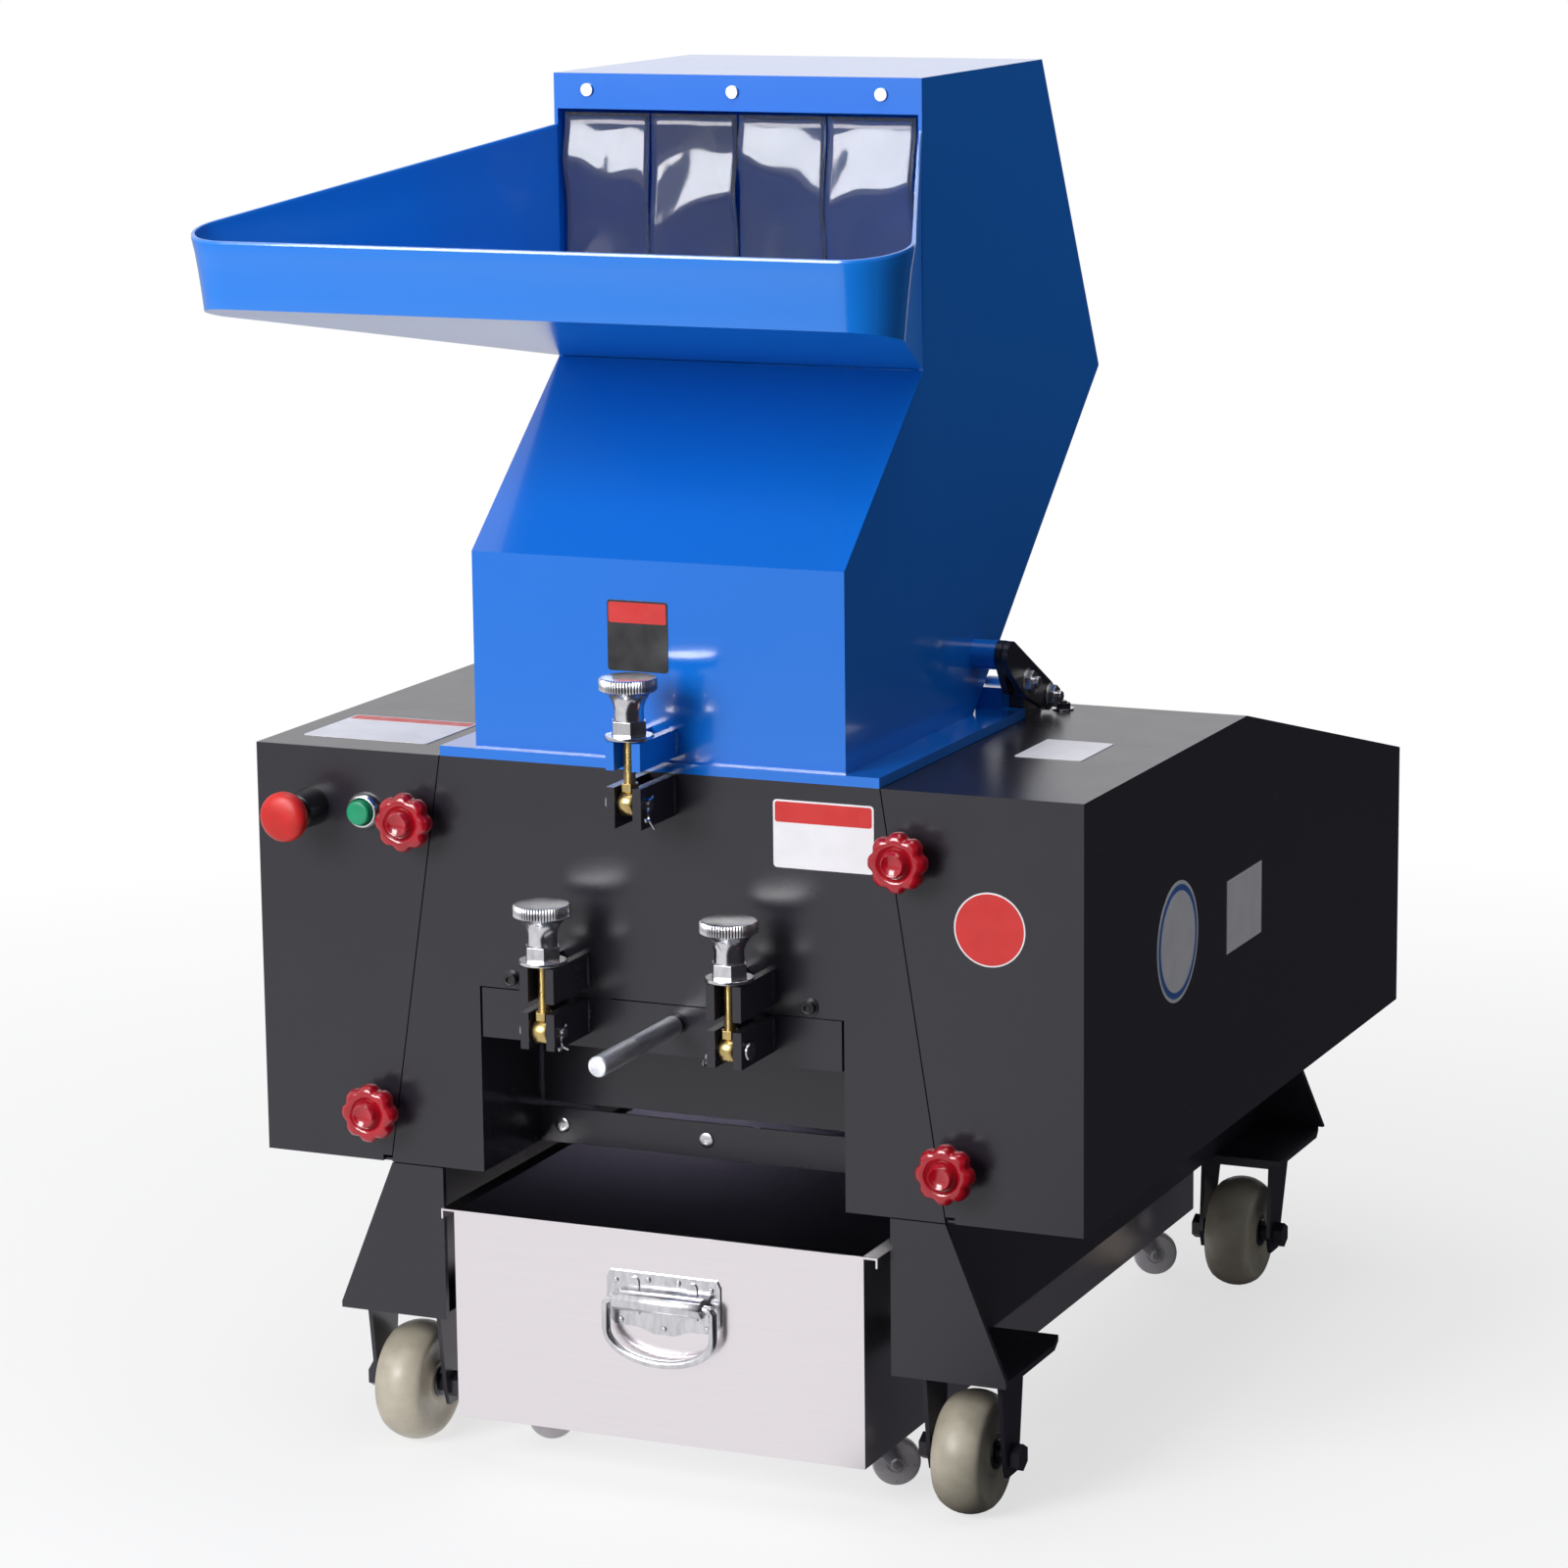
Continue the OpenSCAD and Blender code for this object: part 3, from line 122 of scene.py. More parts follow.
def vary(mat, socket, grain, low, high):
    """Lets a number of the shader follow the noise between two values."""
    span = add(mat.node_tree, "MapRange", From_Min=0.3, From_Max=0.7, To_Min=low, To_Max=high)
    mat.node_tree.links.new(grain, span.inputs["Value"])
    to_shader(mat, span.outputs["Result"], socket)


def mottle(mat, grain, colour_a, colour_b, start=0.4, end=0.6):
    """Lets the colour follow the noise from one colour to the other."""
    to_shader(mat, ramp(mat.node_tree, grain, (start, colour_a), (end, colour_b)), "Base Color")


def bump(mat, grain, depth):
    """Raises the surface with the noise, by a depth in metres."""
    relief = add(mat.node_tree, "Bump", Strength=1.0, Distance=depth)
    mat.node_tree.links.new(grain, relief.inputs["Height"])
    to_shader(mat, relief.outputs["Normal"], "Normal")


def painted(name, colour, roughness, worn, **sockets):
    """Powder coat: fine orange peel, and a faint cloudiness in colour and gloss."""
    mat = new_material(name, colour, roughness, **sockets)
    faded = tuple(c + (w - c) * PAINT_WEAR for c, w in zip(colour, worn))
    mottle(mat, noise(mat, PAINT_TONE, detail=5), colour, faded)
    vary(mat, "Roughness", noise(mat, PAINT_GLOSS, detail=6), roughness * 0.95, roughness * 1.06)
    bump(mat, noise(mat, PAINT_PEEL, detail=2), PEEL)
    return mat


def brushed(name, colour, roughness, stretch, worn=0.75, relief=0.00002, spread=0.33, **sockets):
    """Metal with fine lines along one axis."""
    mat = new_material(name, colour, roughness, Metallic=1.0, **sockets)
    dull = tuple(c * worn for c in colour)
    mottle(mat, noise(mat, METAL_TONE, stretch, detail=6), dull, colour, 0.3, 0.6)
    gloss = noise(mat, METAL_GLOSS, stretch, detail=4)
    vary(mat, "Roughness", gloss, roughness * (1 - spread), roughness * (1 + spread))
    bump(mat, noise(mat, METAL_LINES, stretch, detail=3), relief)
    return mat


def plastic(name, colour, roughness, shade=0.75, **sockets):
    """Moulded plastic or rubber with a fine grain."""
    mat = new_material(name, colour, roughness, **sockets)
    dark = tuple(c * shade for c in colour)
    mottle(mat, noise(mat, PLASTIC_TONE, detail=4), dark, colour, 0.35, 0.65)
    vary(mat, "Roughness", noise(mat, PLASTIC_GLOSS, detail=4), roughness * 0.8, roughness * 1.25)
    bump(mat, noise(mat, PLASTIC_GRAIN, detail=1), PEEL)
    return mat


def paint_shade_inside(mat, low, high, colour):
    """Painted shade: a darker base colour for the metal inside a box, standing in for its shade and dark
    reflections.
    """
    tree = mat.node_tree
    parts = add(tree, "SeparateXYZ")
    tree.links.new(add(tree, "TexCoord").outputs["Object"], parts.inputs["Vector"])
    inside = None
    for axis in range(3):
        for limit, operation in ((low[axis], "GREATER_THAN"), (high[axis], "LESS_THAN")):
            test = add(tree, "Math", operation)
            test.inputs[1].default_value = limit
            tree.links.new(parts.outputs[axis], test.inputs[0])
            if inside is None:
                inside = test.outputs[0]
                continue
            both = add(tree, "Math", "MULTIPLY")
            tree.links.new(inside, both.inputs[0])
            tree.links.new(test.outputs[0], both.inputs[1])
            inside = both.outputs[0]
    source = tree.nodes["Principled BSDF"].inputs["Base Color"].links[0].from_socket
    mix = add(tree, "Mix")
    mix.data_type = "RGBA"
    # Sockets 6 and 7 of the node are its two colours, and output 2 is the mixed one
    mix.inputs[7].default_value = (*colour, 1)
    tree.links.new(inside, mix.inputs["Factor"])
    tree.links.new(source, mix.inputs[6])
    to_shader(mat, mix.outputs[2], "Base Color")


BLACK = painted("black_paint", srgb(31, 29, 37), 0.26, srgb(44, 40, 48), Specular_IOR_Level=0.62)
BLUE = painted("blue_paint", srgb(12, 112, 214), 0.16, srgb(26, 118, 212), Coat_Weight=0.6,
               Coat_Roughness=0.06, Specular_IOR_Level=0.65)
TRAY_BLUE = painted("tray_blue", srgb(18, 118, 218), 0.18, srgb(40, 120, 212), Coat_Weight=0.6,
                    Coat_Roughness=0.08, Specular_IOR_Level=0.6)
STAINLESS = brushed("stainless", (0.88, 0.83, 0.85), 0.22, (0.2, 0.2, 9), worn=0.985,
                    relief=0.000001, spread=0.04)
STEEL = brushed("steel", (0.56, 0.56, 0.58), 0.3, (22, 1, 1))
DARK_STEEL = brushed("dark_steel", srgb(92, 92, 98), 0.3, (2, 2, 2))
MACHINED = brushed("machined_steel", (0.4, 0.4, 0.43), 0.32, (1, 9, 9))
ZINC = brushed("zinc", (0.74, 0.74, 0.76), 0.2, (3, 3, 1), worn=0.8)
ROD_ZINC = brushed("bright_zinc", (0.9, 0.92, 0.97), 0.4, (9, 1, 9), worn=0.85)
YELLOW_ZINC = brushed("yellow_zinc", srgb(205, 180, 120), 0.27, (3, 3, 1), worn=0.7)
RED = plastic("red_plastic", srgb(172, 14, 32), 0.16, Coat_Weight=0.5, Coat_Roughness=0.06)
STOP_RED = plastic("stop_red", srgb(205, 30, 24), 0.38)
GREEN = plastic("green_plastic", srgb(14, 150, 104), 0.35)
BLACK_PLASTIC = plastic("black_plastic", srgb(28, 28, 31), 0.34)
GREY_PLASTIC = plastic("grey_plastic", srgb(206, 201, 206), 0.3, Transmission_Weight=0.3)
MOTOR_BLUE = painted("motor_paint", srgb(60, 92, 130), 0.4, srgb(120, 140, 160))
BELT = plastic("belt_rubber", srgb(30, 30, 32), 0.7)
TREAD = plastic("wheel_rubber", srgb(178, 170, 153), 0.4, shade=0.8)
LABEL = plastic("label_yellow", srgb(226, 196, 60), 0.4, shade=0.93)
WHITE_SIGN = plastic("white_sign", srgb(236, 234, 238), 0.4, shade=0.93)
RED_SIGN = plastic("red_sign", srgb(205, 42, 40), 0.35, shade=0.93)
BLUE_SIGN = plastic("blue_sign", srgb(60, 110, 190), 0.35, shade=0.93)
CLEAR = new_material("curtain_vinyl", (0.62, 0.68, 0.78), 0.06, Transmission_Weight=0.95, IOR=1.36,
                     Coat_Weight=0.15, Coat_Roughness=0.04)
vary(CLEAR, "Roughness", noise(CLEAR, 14, detail=4), 0.03, 0.12)
bump(CLEAR, noise(CLEAR, 22, (1, 1, 0.4), detail=2), 0.0012)

# Painted shade inside the bin, bounded in metres: within its walls and over its floor, up past the rim
BIN_RIM = 0.012
BIN_SKIN = 0.0008
BIN_FLOOR = 0.0015
bin_low, bin_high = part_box("bin")
# The grey-lilac colour below is painted shade and painted dark reflection, not dust
paint_shade_inside(STAINLESS, (bin_low.x + BIN_RIM, bin_low.y + BIN_SKIN, bin_low.z + BIN_SKIN + BIN_FLOOR),
              (bin_high.x - BIN_RIM, bin_high.y - BIN_SKIN, bin_high.z + 1), (0.42, 0.41, 0.46))

# Every CAD node gets its finish; the ones that a piece replaces below are hidden there
LOOKS = {
    BLACK: "stand chamber front_panel left_hood right_hood rear_cover hinge_lugs front_forks rear_fork_left "
           "rear_fork_right screen_cradle upper_stay lower_stay",
    BLUE: "hopper feed_tray",
    MACHINED: "bed_knives bearings rotor_shaft rotor_knives rotor_pulley flywheel motor_pulley "
              "panel_fasteners",
    STEEL: "screen curtain_rail bin_handle",
    ZINC: "top_knob left_knob right_knob top_latch_pin cradle_pins bin_bail switch_housings "
          "bin_fork_front_left bin_fork_front_right bin_fork_rear_left bin_fork_rear_right",
    YELLOW_ZINC: "top_eye_bolt left_eye_bolt right_eye_bolt",
    STAINLESS: "bin",
    RED: "star_knob_left_high star_knob_left_low star_knob_right_high star_knob_right_low",
    STOP_RED: "stop_button",
    GREEN: "start_button",
    GREY_PLASTIC: "bin_wheel_front_left bin_wheel_front_right bin_wheel_rear_left bin_wheel_rear_right "
                  "curtain",
    MOTOR_BLUE: "motor",
    BELT: "drive_belts",
    TREAD: "front_wheel_left front_wheel_right rear_wheel_left rear_wheel_right",
    LABEL: "label_plates",
}
for look, names in LOOKS.items():
    for name in names.split():
        nodes[name].data.materials.clear()
        nodes[name].data.materials.append(look)


def round_edges(made, width, segments, sharp):
    """Rounds the edges past an angle in degrees, by a width in millimetres."""
    edge = made.modifiers.new("edges", "BEVEL")
    edge.width = width * MM
    edge.segments = segments
    edge.limit_method = "ANGLE"
    edge.angle_limit = math.radians(sharp)
    edge.harden_normals = True


def soften(name, width, segments=2):
    """Rounds the sharp edges of a CAD node with modifiers; its own mesh stays as it is."""
    flat = nodes[name].modifiers.new("flat faces", "DECIMATE")
    flat.decimate_type = "DISSOLVE"
    flat.angle_limit = math.radians(1)
    round_edges(nodes[name], width, segments, 35)


for name in ("left_hood", "right_hood", "rear_cover", "front_panel", "hopper"):
    soften(name, 1.6, 3)
for name in ("stand", "screen_cradle", "chamber"):
    soften(name, 0.8)


# Shapes: each function gives the vertices, in millimetres, and the faces of one form

TURN = 2 * math.pi


def lathe(profile, count=40, rim=None):
    """A form turned about Z from (radius, height) pairs; rim changes a radius by its angle and place."""
    verts = []
    for place, (radius, height) in enumerate(profile):
        for step in range(count):
            angle = TURN * step / count
            reach = rim(radius, angle, place) if rim else radius
            verts.append((reach * math.cos(angle), reach * math.sin(angle), height))
    faces = []
    for low in range(len(profile) - 1):
        for step in range(count):
            after = (step + 1) % count
            faces.append((low * count + step, low * count + after,
                          (low + 1) * count + after, (low + 1) * count + step))
    faces.append(tuple(reversed(range(count))))
    faces.append(tuple((len(profile) - 1) * count + step for step in range(count)))
    return verts, faces


def ring(profile, count):
    """A turned form whose profile closes on itself round a hole."""
    verts, faces = lathe(profile, count)
    last = (len(profile) - 1) * count
    inner = [(last + i, last + (i + 1) % count, (i + 1) % count, i) for i in range(count)]
    return verts, faces[:-2] + inner


def tube(path, radius, count=10, closed=False):
    """A round wire along a list of points."""
    points = [Vector(p) for p in path]
    verts, side = [], None
    for here, point in enumerate(points):
        ahead = points[(here + 1) % len(points)] if closed or here + 1 < len(points) else point
        behind = points[here - 1] if closed or here > 0 else point
        along = (ahead - behind).normalized()
        if side is None:
            side = along.orthogonal().normalized()
        side = (side - along * side.dot(along)).normalized()
        other = along.cross(side)
        for step in range(count):
            angle = TURN * step / count
            verts.append(tuple(point + radius * (side * math.cos(angle) + other * math.sin(angle))))
    faces = []
    spans = len(points) if closed else len(points) - 1
    for near in range(spans):
        far = (near + 1) % len(points)
        for step in range(count):
            after = (step + 1) % count
            faces.append((near * count + step, near * count + after, far * count + after, far * count + step))
    if not closed:
        faces.append(tuple(reversed(range(count))))
        faces.append(tuple((len(points) - 1) * count + step for step in range(count)))
    return verts, faces


def prism(outline, low, high):
    """An outline in X and Y raised from one height to another."""
    count = len(outline)
    verts = [(x, y, z) for z in (low, high) for x, y in outline]
    faces = [(i, (i + 1) % count, count + (i + 1) % count, count + i) for i in range(count)]
    return verts, faces + [tuple(reversed(range(count))), tuple(range(count, 2 * count))]


def box(low, high):
    """A block between two corners."""
    (x0, y0, z0), (x1, y1, z1) = low, high
    return prism([(x0, y0), (x1, y0), (x1, y1), (x0, y1)], z0, z1)


def hexagon(radius):
    """Corners of a hexagon round the origin."""
    return [(radius * math.cos(TURN * i / 6), radius * math.sin(TURN * i / 6)) for i in range(6)]


def disc(radius, low, high, count=30):
    """A round plate from one height to another."""
    return lathe([(0, low), (radius, low), (radius, high), (0, high)], count)


def arc(middle, radius, start, end, steps):
    """Points of an arc in a plane, from one angle in degrees to another."""
    turns = [math.radians(start + (end - start) * i / steps) for i in range(steps + 1)]
    return [(middle[0] + radius * math.cos(t), middle[1] + radius * math.sin(t)) for t in turns]


FORWARD = Matrix.Rotation(math.radians(90), 4, "X")
SIDEWAYS = Matrix.Rotation(math.radians(90), 4, "Y")


def moved(form, x=0, y=0, z=0, turn=None):
    """A form turned about the origin and then shifted."""
    verts, faces = form
    shift = Matrix.Translation((x, y, z)) @ (turn or Matrix())
    return [tuple(shift @ Vector(v)) for v in verts], faces


def piece(name, forms, looks, body, replaces=(), bevel=0, sharp=35, finish=None):
    """Joins forms into one object on a body. A look is a material, or one for each form."""
    if not isinstance(looks, (list, tuple)):
        looks = [looks] * len(forms)
    kinds = list(dict.fromkeys(looks))
    built = bmesh.new()
    for form, look in zip(forms, looks):
        corners = [built.verts.new(at(*v)) for v in form[0]]
        for face in form[1]:
            made = built.faces.new([corners[i] for i in face])
            made.material_index = kinds.index(look)
            made.smooth = True
    bmesh.ops.remove_doubles(built, verts=built.verts, dist=2e-6)
    bmesh.ops.recalc_face_normals(built, faces=built.faces)
    data = bpy.data.meshes.new(name)
    built.to_mesh(data)
    built.free()
    for look in kinds:
        data.materials.append(look)
    made = bpy.data.objects.new(name, data)
    bpy.context.collection.objects.link(made)
    if bevel:
        round_edges(made, bevel, 2, sharp)
    if finish:
        finish(made)
    data.set_sharp_from_angle(angle=math.radians(sharp))
    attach(made, body)
    if replaces:
        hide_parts(*replaces)
    return made


# Feed tray: a folded pan whose front strip leans out

TRAY_HALF = 306.0
TRAY_FRONT, TRAY_BACK = -216.0, 165.0
TRAY_TOP_FRONT, TRAY_TOP_BACK = 1000.0, 1062.0
TRAY_LOW_FRONT, TRAY_LOW_BACK = 948.0, 877.0
TRAY_SHEET = 3.0
TRAY_LEAN = 8.0
TRAY_CORNER = 42.0
TRAY_BOW = 0.6
TRAY_RIM = 1.6
LEAN_SPAN = 300
MOUTH_HALF = 157.0


def between(y, front, back):
    """A height on the straight line from the tray's front to its back."""
    return front + (back - front) * (y - TRAY_FRONT) / (TRAY_BACK - TRAY_FRONT)


def tray_plan():
    """The right half of the tray's outline, from the wing's end to the front, with inward directions."""
    corner = Vector((TRAY_HALF, TRAY_FRONT))
    end = Vector((MOUTH_HALF, TRAY_BACK))
    back = (end - corner).normalized()
    across = Vector((-1, 0))
    half = math.acos(back.dot(across)) / 2
    middle = corner + (back + across).normalized() * TRAY_CORNER / math.sin(half)
    bent = corner + back * TRAY_CORNER / math.tan(half)
    inwards = (middle - bent).normalized()
    wing = [(end.lerp(bent, step / 6), inwards) for step in range(6)]
    first = math.degrees(math.atan2(-inwards.y, -inwards.x))
    bend = [Vector(p) for p in arc(middle, TRAY_CORNER, first, -90, 14)]
    bend = [(p, (middle - p).normalized()) for p in bend]
    front = [(Vector((bend[-1][0].x * share, TRAY_FRONT)), Vector((0, 1))) for share in (0.66, 0.33, 0)]
    return wing + bend + front


def tray_wall(lean, inset, low, drop, shares):
    """Places of a wall's section, as steps inwards and heights."""
    return [(lean * (1 - t) + inset + TRAY_BOW * math.sin(math.pi * t), low + drop * t) for t in shares]


def feed_tray():
    right = tray_plan()
    left = [(Vector((-p.x, p.y)), Vector((-n.x, n.y))) for p, n in reversed(right[:-1])]
    outline = right + left
    rim = TRAY_RIM
    # Rows from the outer foot up over the rolled edge and down inside
    rows = []
    for point, inwards in outline:
        lean = TRAY_LEAN * min(1, (TRAY_BACK - point.y) / LEAN_SPAN)
        top = between(point.y, TRAY_TOP_FRONT, TRAY_TOP_BACK)
        low = between(point.y, TRAY_LOW_FRONT, TRAY_LOW_BACK)
        drop = top - low
        section = [(lean, low + 1)] + tray_wall(lean, 0, low, drop, (0.04, 0.25, 0.5, 0.75))
        section += [(0, top - 2 * rim), (0, top - rim), (0.5, top - 0.4), (rim, top),
                    (2 * rim - 0.5, top - 0.4), (2 * rim, top - rim), (TRAY_SHEET, top - 2 * rim)]
        section += tray_wall(lean, TRAY_SHEET, low, drop, (0.75, 0.5, 0.25))
        section += [(lean + TRAY_SHEET + 0.5, low + TRAY_SHEET + 3),
                    (lean + TRAY_SHEET + 3, low + TRAY_SHEET)]
        rows.append([(point.x + inwards.x * step, point.y + inwards.y * step, height)
                     for step, height in section])
    count = len(rows[0])
    verts = [corner for row in rows for corner in row]
    faces = [(a * count + b, (a + 1) * count + b, (a + 1) * count + b + 1, a * count + b + 1)
             for a in range(len(rows) - 1) for b in range(count - 1)]
    faces.append(tuple(a * count for a in range(len(rows))))
    faces.append(tuple(a * count + count - 1 for a in reversed(range(len(rows)))))
    back = (len(rows) - 1) * count
    faces += [tuple(range(count)), tuple(back + b for b in reversed(range(count)))]
    faces.append((0, count - 1, back + count - 1, back))
    piece("feed_tray_pan", [(verts, faces)], TRAY_BLUE, "hopper", ["feed_tray"], sharp=40)


feed_tray()


# Curtain of four clear strips

CURTAIN_TOP = 1071.0
CURTAIN_LOW = 885.0
CURTAIN_HALF = 150.0
CURTAIN_PLANE = 169.8
STRIPS = 4
STRIP_GAP = 2.0
STRIP_THICK = 1.2
STRIP_OFFSET = 0.8
STRIP_RIPPLE = 0.7
STRIP_CURLS = (2.5, -2, 3, -2.5)
# Depth in millimetres, and start, length and slant as shares of the height, of each strip's fold
STRIP_FOLDS = ((5, 0.03, 0.5, 0.3), (6, 0.14, 0.55, -0.4), (5, 0.03, 0.45, 0.35), (8, 0.03, 0.6, -0.25))


def curtain_strip(number):
    """One hanging strip with a slanting fold, curled across its width more and more towards its foot."""
    width = (2 * CURTAIN_HALF + STRIP_GAP) / STRIPS - STRIP_GAP
    left = -CURTAIN_HALF + number * (width + STRIP_GAP)
    depth, start, length, slant = STRIP_FOLDS[number]
    columns, rows = 14, 20
    verts, faces = [], []
    for row in range(rows + 1):
        fall = row / rows
        height = CURTAIN_TOP + (CURTAIN_LOW - CURTAIN_TOP) * fall
        for column in range(columns + 1):
            share = column / columns
            bow = STRIP_CURLS[number] * fall ** 1.3 * (1 - 4 * (share - 0.5) ** 2)
            turn = (fall - start) / (length + slant * (share - 0.5))
            drape = depth * math.sin(math.pi * min(1, max(0, turn))) ** 2
            drape += STRIP_RIPPLE * min(1, 6 * fall) * math.sin(8 * share + 11 * fall + number)
            verts.append((left + width * share, CURTAIN_PLANE + STRIP_OFFSET + bow - drape, height))
    for row in range(rows):
        for column in range(columns):
            first = row * (columns + 1) + column
            faces.append((first, first + 1, first + columns + 2, first + columns + 1))
    thick = piece(f"curtain_strip_{number + 1}", [(verts, faces)], CLEAR, "curtain", ["curtain"],
                  finish=thin_sheet)


def thin_sheet(made):
    skin = made.modifiers.new("thickness", "SOLIDIFY")
    skin.thickness = STRIP_THICK * MM
    skin.offset = 0


for number in range(STRIPS):
    curtain_strip(number)


# Star knobs with lobes, a groove and a dished middle

STAR_LOBES = 8
STAR_NECK = 13
STAR_DIP = 0.13


def star_knob(side, level):
    name = f"star_knob_{side}_{level}"
    low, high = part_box(name)
    x = (low.x + high.x) / 2 / MM
    z = (low.z + high.z) / 2 / MM
    radius = (high.z - low.z) / 2 / MM

    def lobes(reach, angle, place):
        share = max(0, (reach - STAR_NECK) / (radius - STAR_NECK))
        return reach * (1 - STAR_DIP * share * ((1 - math.cos(STAR_LOBES * angle)) / 2) ** 2.2)

    profile = [(0, 0.6), (11, 0.6), (11, 9), (12.5, 12.5), (radius - 3, 14.6), (radius - 0.8, 16),
               (radius, 19), (radius, 24), (radius - 1.2, 27.5), (radius - 4, 29.2), (16, 29.4), (13.6, 29),
               (12.4, 27.2), (11.6, 27), (10.8, 29.4), (10.2, 32.6), (9.3, 34.2), (8.4, 35), (7.6, 34.8),
               (6.8, 34), (0, 33.8)]
    stud = lathe([(0, -18), (3.4, -18), (4, -17.2), (4, 0.6), (0, 0.6)], 16)
    knob = lathe(profile, 96, lobes)
    piece(name + "_moulding", [moved(knob, x, 0, z, FORWARD), moved(stud, x, 0, z, FORWARD)], [RED, ZINC],
          name, [name], sharp=50)


for side in ("left", "right"):
    for level in ("high", "low"):
        star_knob(side, level)


# Latches: knurled knob with nut and washer, threaded eye bolt, pin with its clip

# Place across, height of the pin and height of the knob's seat
LATCHES = {"top": (2.0, 565.5, 615.5), "left": (-75.0, 379.6, 433.5), "right": (83.0, 379.6, 433.5)}
BOLT_Y = -50.0
KNOB_ROOM = 6.4
THREAD_PITCH = 1.5


def knurl(reach, angle, place):
    """Sixty fine ridges on the outer part of the disc."""
    return reach + (0.45 * math.cos(60 * angle) if reach > 20.5 else 0)


def latch_knob(name):
    x, pin, seat = LATCHES[name]
    washer = lathe([(KNOB_ROOM, 0), (18.4, 0), (19, 0.6), (19, 2.4), (18.4, 3), (KNOB_ROOM, 3)], 40)
    cone = 25.5
    nut = prism(hexagon(14.6), 3, 14.2)
    knob = lathe([(0, 38.4), (KNOB_ROOM, 38.4), (KNOB_ROOM, 14.2), (11.6, 14.2), (11.9, 15),
                  (11.4, cone - 4), (12, cone), (14.2, cone + 5), (18.2, cone + 9.8), (20.2, cone + 11),
                  (22, 37.8), (22.1, 38.6), (22.1, 45.6), (21.3, 46.8), (19, 47.4), (0, 48)], 240, knurl)
    stack = [moved(form, x, BOLT_Y, seat) for form in (washer, nut, knob)]
    piece(f"{name}_knob_knurled", stack, ZINC, f"{name}_knob", [f"{name}_knob"], bevel=0.35, sharp=32)


def eye_bolt(name):
    x, pin, seat = LATCHES[name]
    turns = int((seat + 36 - pin - 12) / THREAD_PITCH)
    thread = [(4.9 if step % 2 == 0 else 4.35, pin + 12 + step * THREAD_PITCH / 2)
              for step in range(2 * turns)]
    shank = lathe([(0, pin + 8), (4.4, pin + 8)] + thread + [(3.6, seat + 37.4), (0, seat + 37.6)], 20)
    eye = ring([(5.1, -6), (9.2, -6), (10, -5), (10, 5), (9.2, 6), (5.1, 6)], 32)
    collar = prism(hexagon(7.4), 9, 15.5)
    forms = [moved(shank, x, BOLT_Y), moved(eye, x, BOLT_Y, pin, SIDEWAYS), moved(collar, x, BOLT_Y, pin)]
    piece(f"{name}_eye_bolt_threaded", forms, YELLOW_ZINC, f"{name}_bolt", [f"{name}_eye_bolt"],
          bevel=0.25, sharp=50)


def latch_pin(x, pin, side):
    """A pin through the bracket, with a head on one end; the clip passes through its other end."""
    shaft = lathe([(0, -17.6), (7, -17.6), (7.4, -17), (7.4, -15.2), (4.9, -14.8), (4.9, 17.2), (4, 18),
                   (0, 18)], 24)
    turn = SIDEWAYS if side > 0 else Matrix.Rotation(math.pi, 4, "Z") @ SIDEWAYS
    return moved(shaft, x, BOLT_Y, pin, turn)


def hair_clip(x, pin, side, long):
    """A bent wire clip through the end of the pin: round its eye, with one straight leg."""
    start = x + side * 16.2
    path = [(start, BOLT_Y + 6, pin + 5), (start, BOLT_Y, pin), (start + side, BOLT_Y - 6, pin - 5)]
    path += [(start + side * 1.5, BOLT_Y - 8 + 3.4 * math.sin(t), pin - 9 + 3.4 * math.cos(t))
             for t in [0.8 + 0.45 * i for i in range(9)]]
    path += [(start + side * (2 + 4 * t), BOLT_Y - 9 + 5 * t, pin - 8 - long * t) for t in (0.3, 0.65, 1)]
    return tube(path, 0.9, 8)


def latches():
    for name in LATCHES:
        latch_knob(name)
        eye_bolt(name)
    x, pin, _ = LATCHES["top"]
    piece("top_pin_and_clip", [latch_pin(x, pin, 1), hair_clip(x, pin, 1, 10)], ZINC, "frame",
          ["top_latch_pin"])
    forms = []
    for name, side in (("left", 1), ("right", -1)):
        x, pin, _ = LATCHES[name]
        forms += [latch_pin(x, pin, side), hair_clip(x, pin, side, 4)]
    piece("cradle_pins_and_clips", forms, ZINC, "cradle", ["cradle_pins"])


latches()


# Handle rod of the screen cradle: a zinc sleeve over the frame's rod

ROD_X, ROD_Z = 14.0, 381.0
ROD_LENGTH = 140.6
ROD_RADIUS = 8.1


def handle_rod():
    profile = [(0, 5.6), (ROD_RADIUS, 5.6), (ROD_RADIUS, ROD_LENGTH - 64), (7.75, ROD_LENGTH - 63),
               (7.75, ROD_LENGTH - 59), (ROD_RADIUS, ROD_LENGTH - 58), (ROD_RADIUS, ROD_LENGTH - 1.2),
               (7, ROD_LENGTH), (0, ROD_LENGTH)]
    rod = moved(lathe(profile, 40), ROD_X, 0, ROD_Z, FORWARD)
    piece("cradle_handle_rod", [rod], ROD_ZINC, "cradle", sharp=30)


# Weld beads where the brackets meet the panels

ARM_OUT = 14.5
PANEL_BEAD_Y = -0.6
HOPPER_BEAD_Y = 4.4
BEAD_RADIUS = 2.1
BEAD_PITCH = 1.6


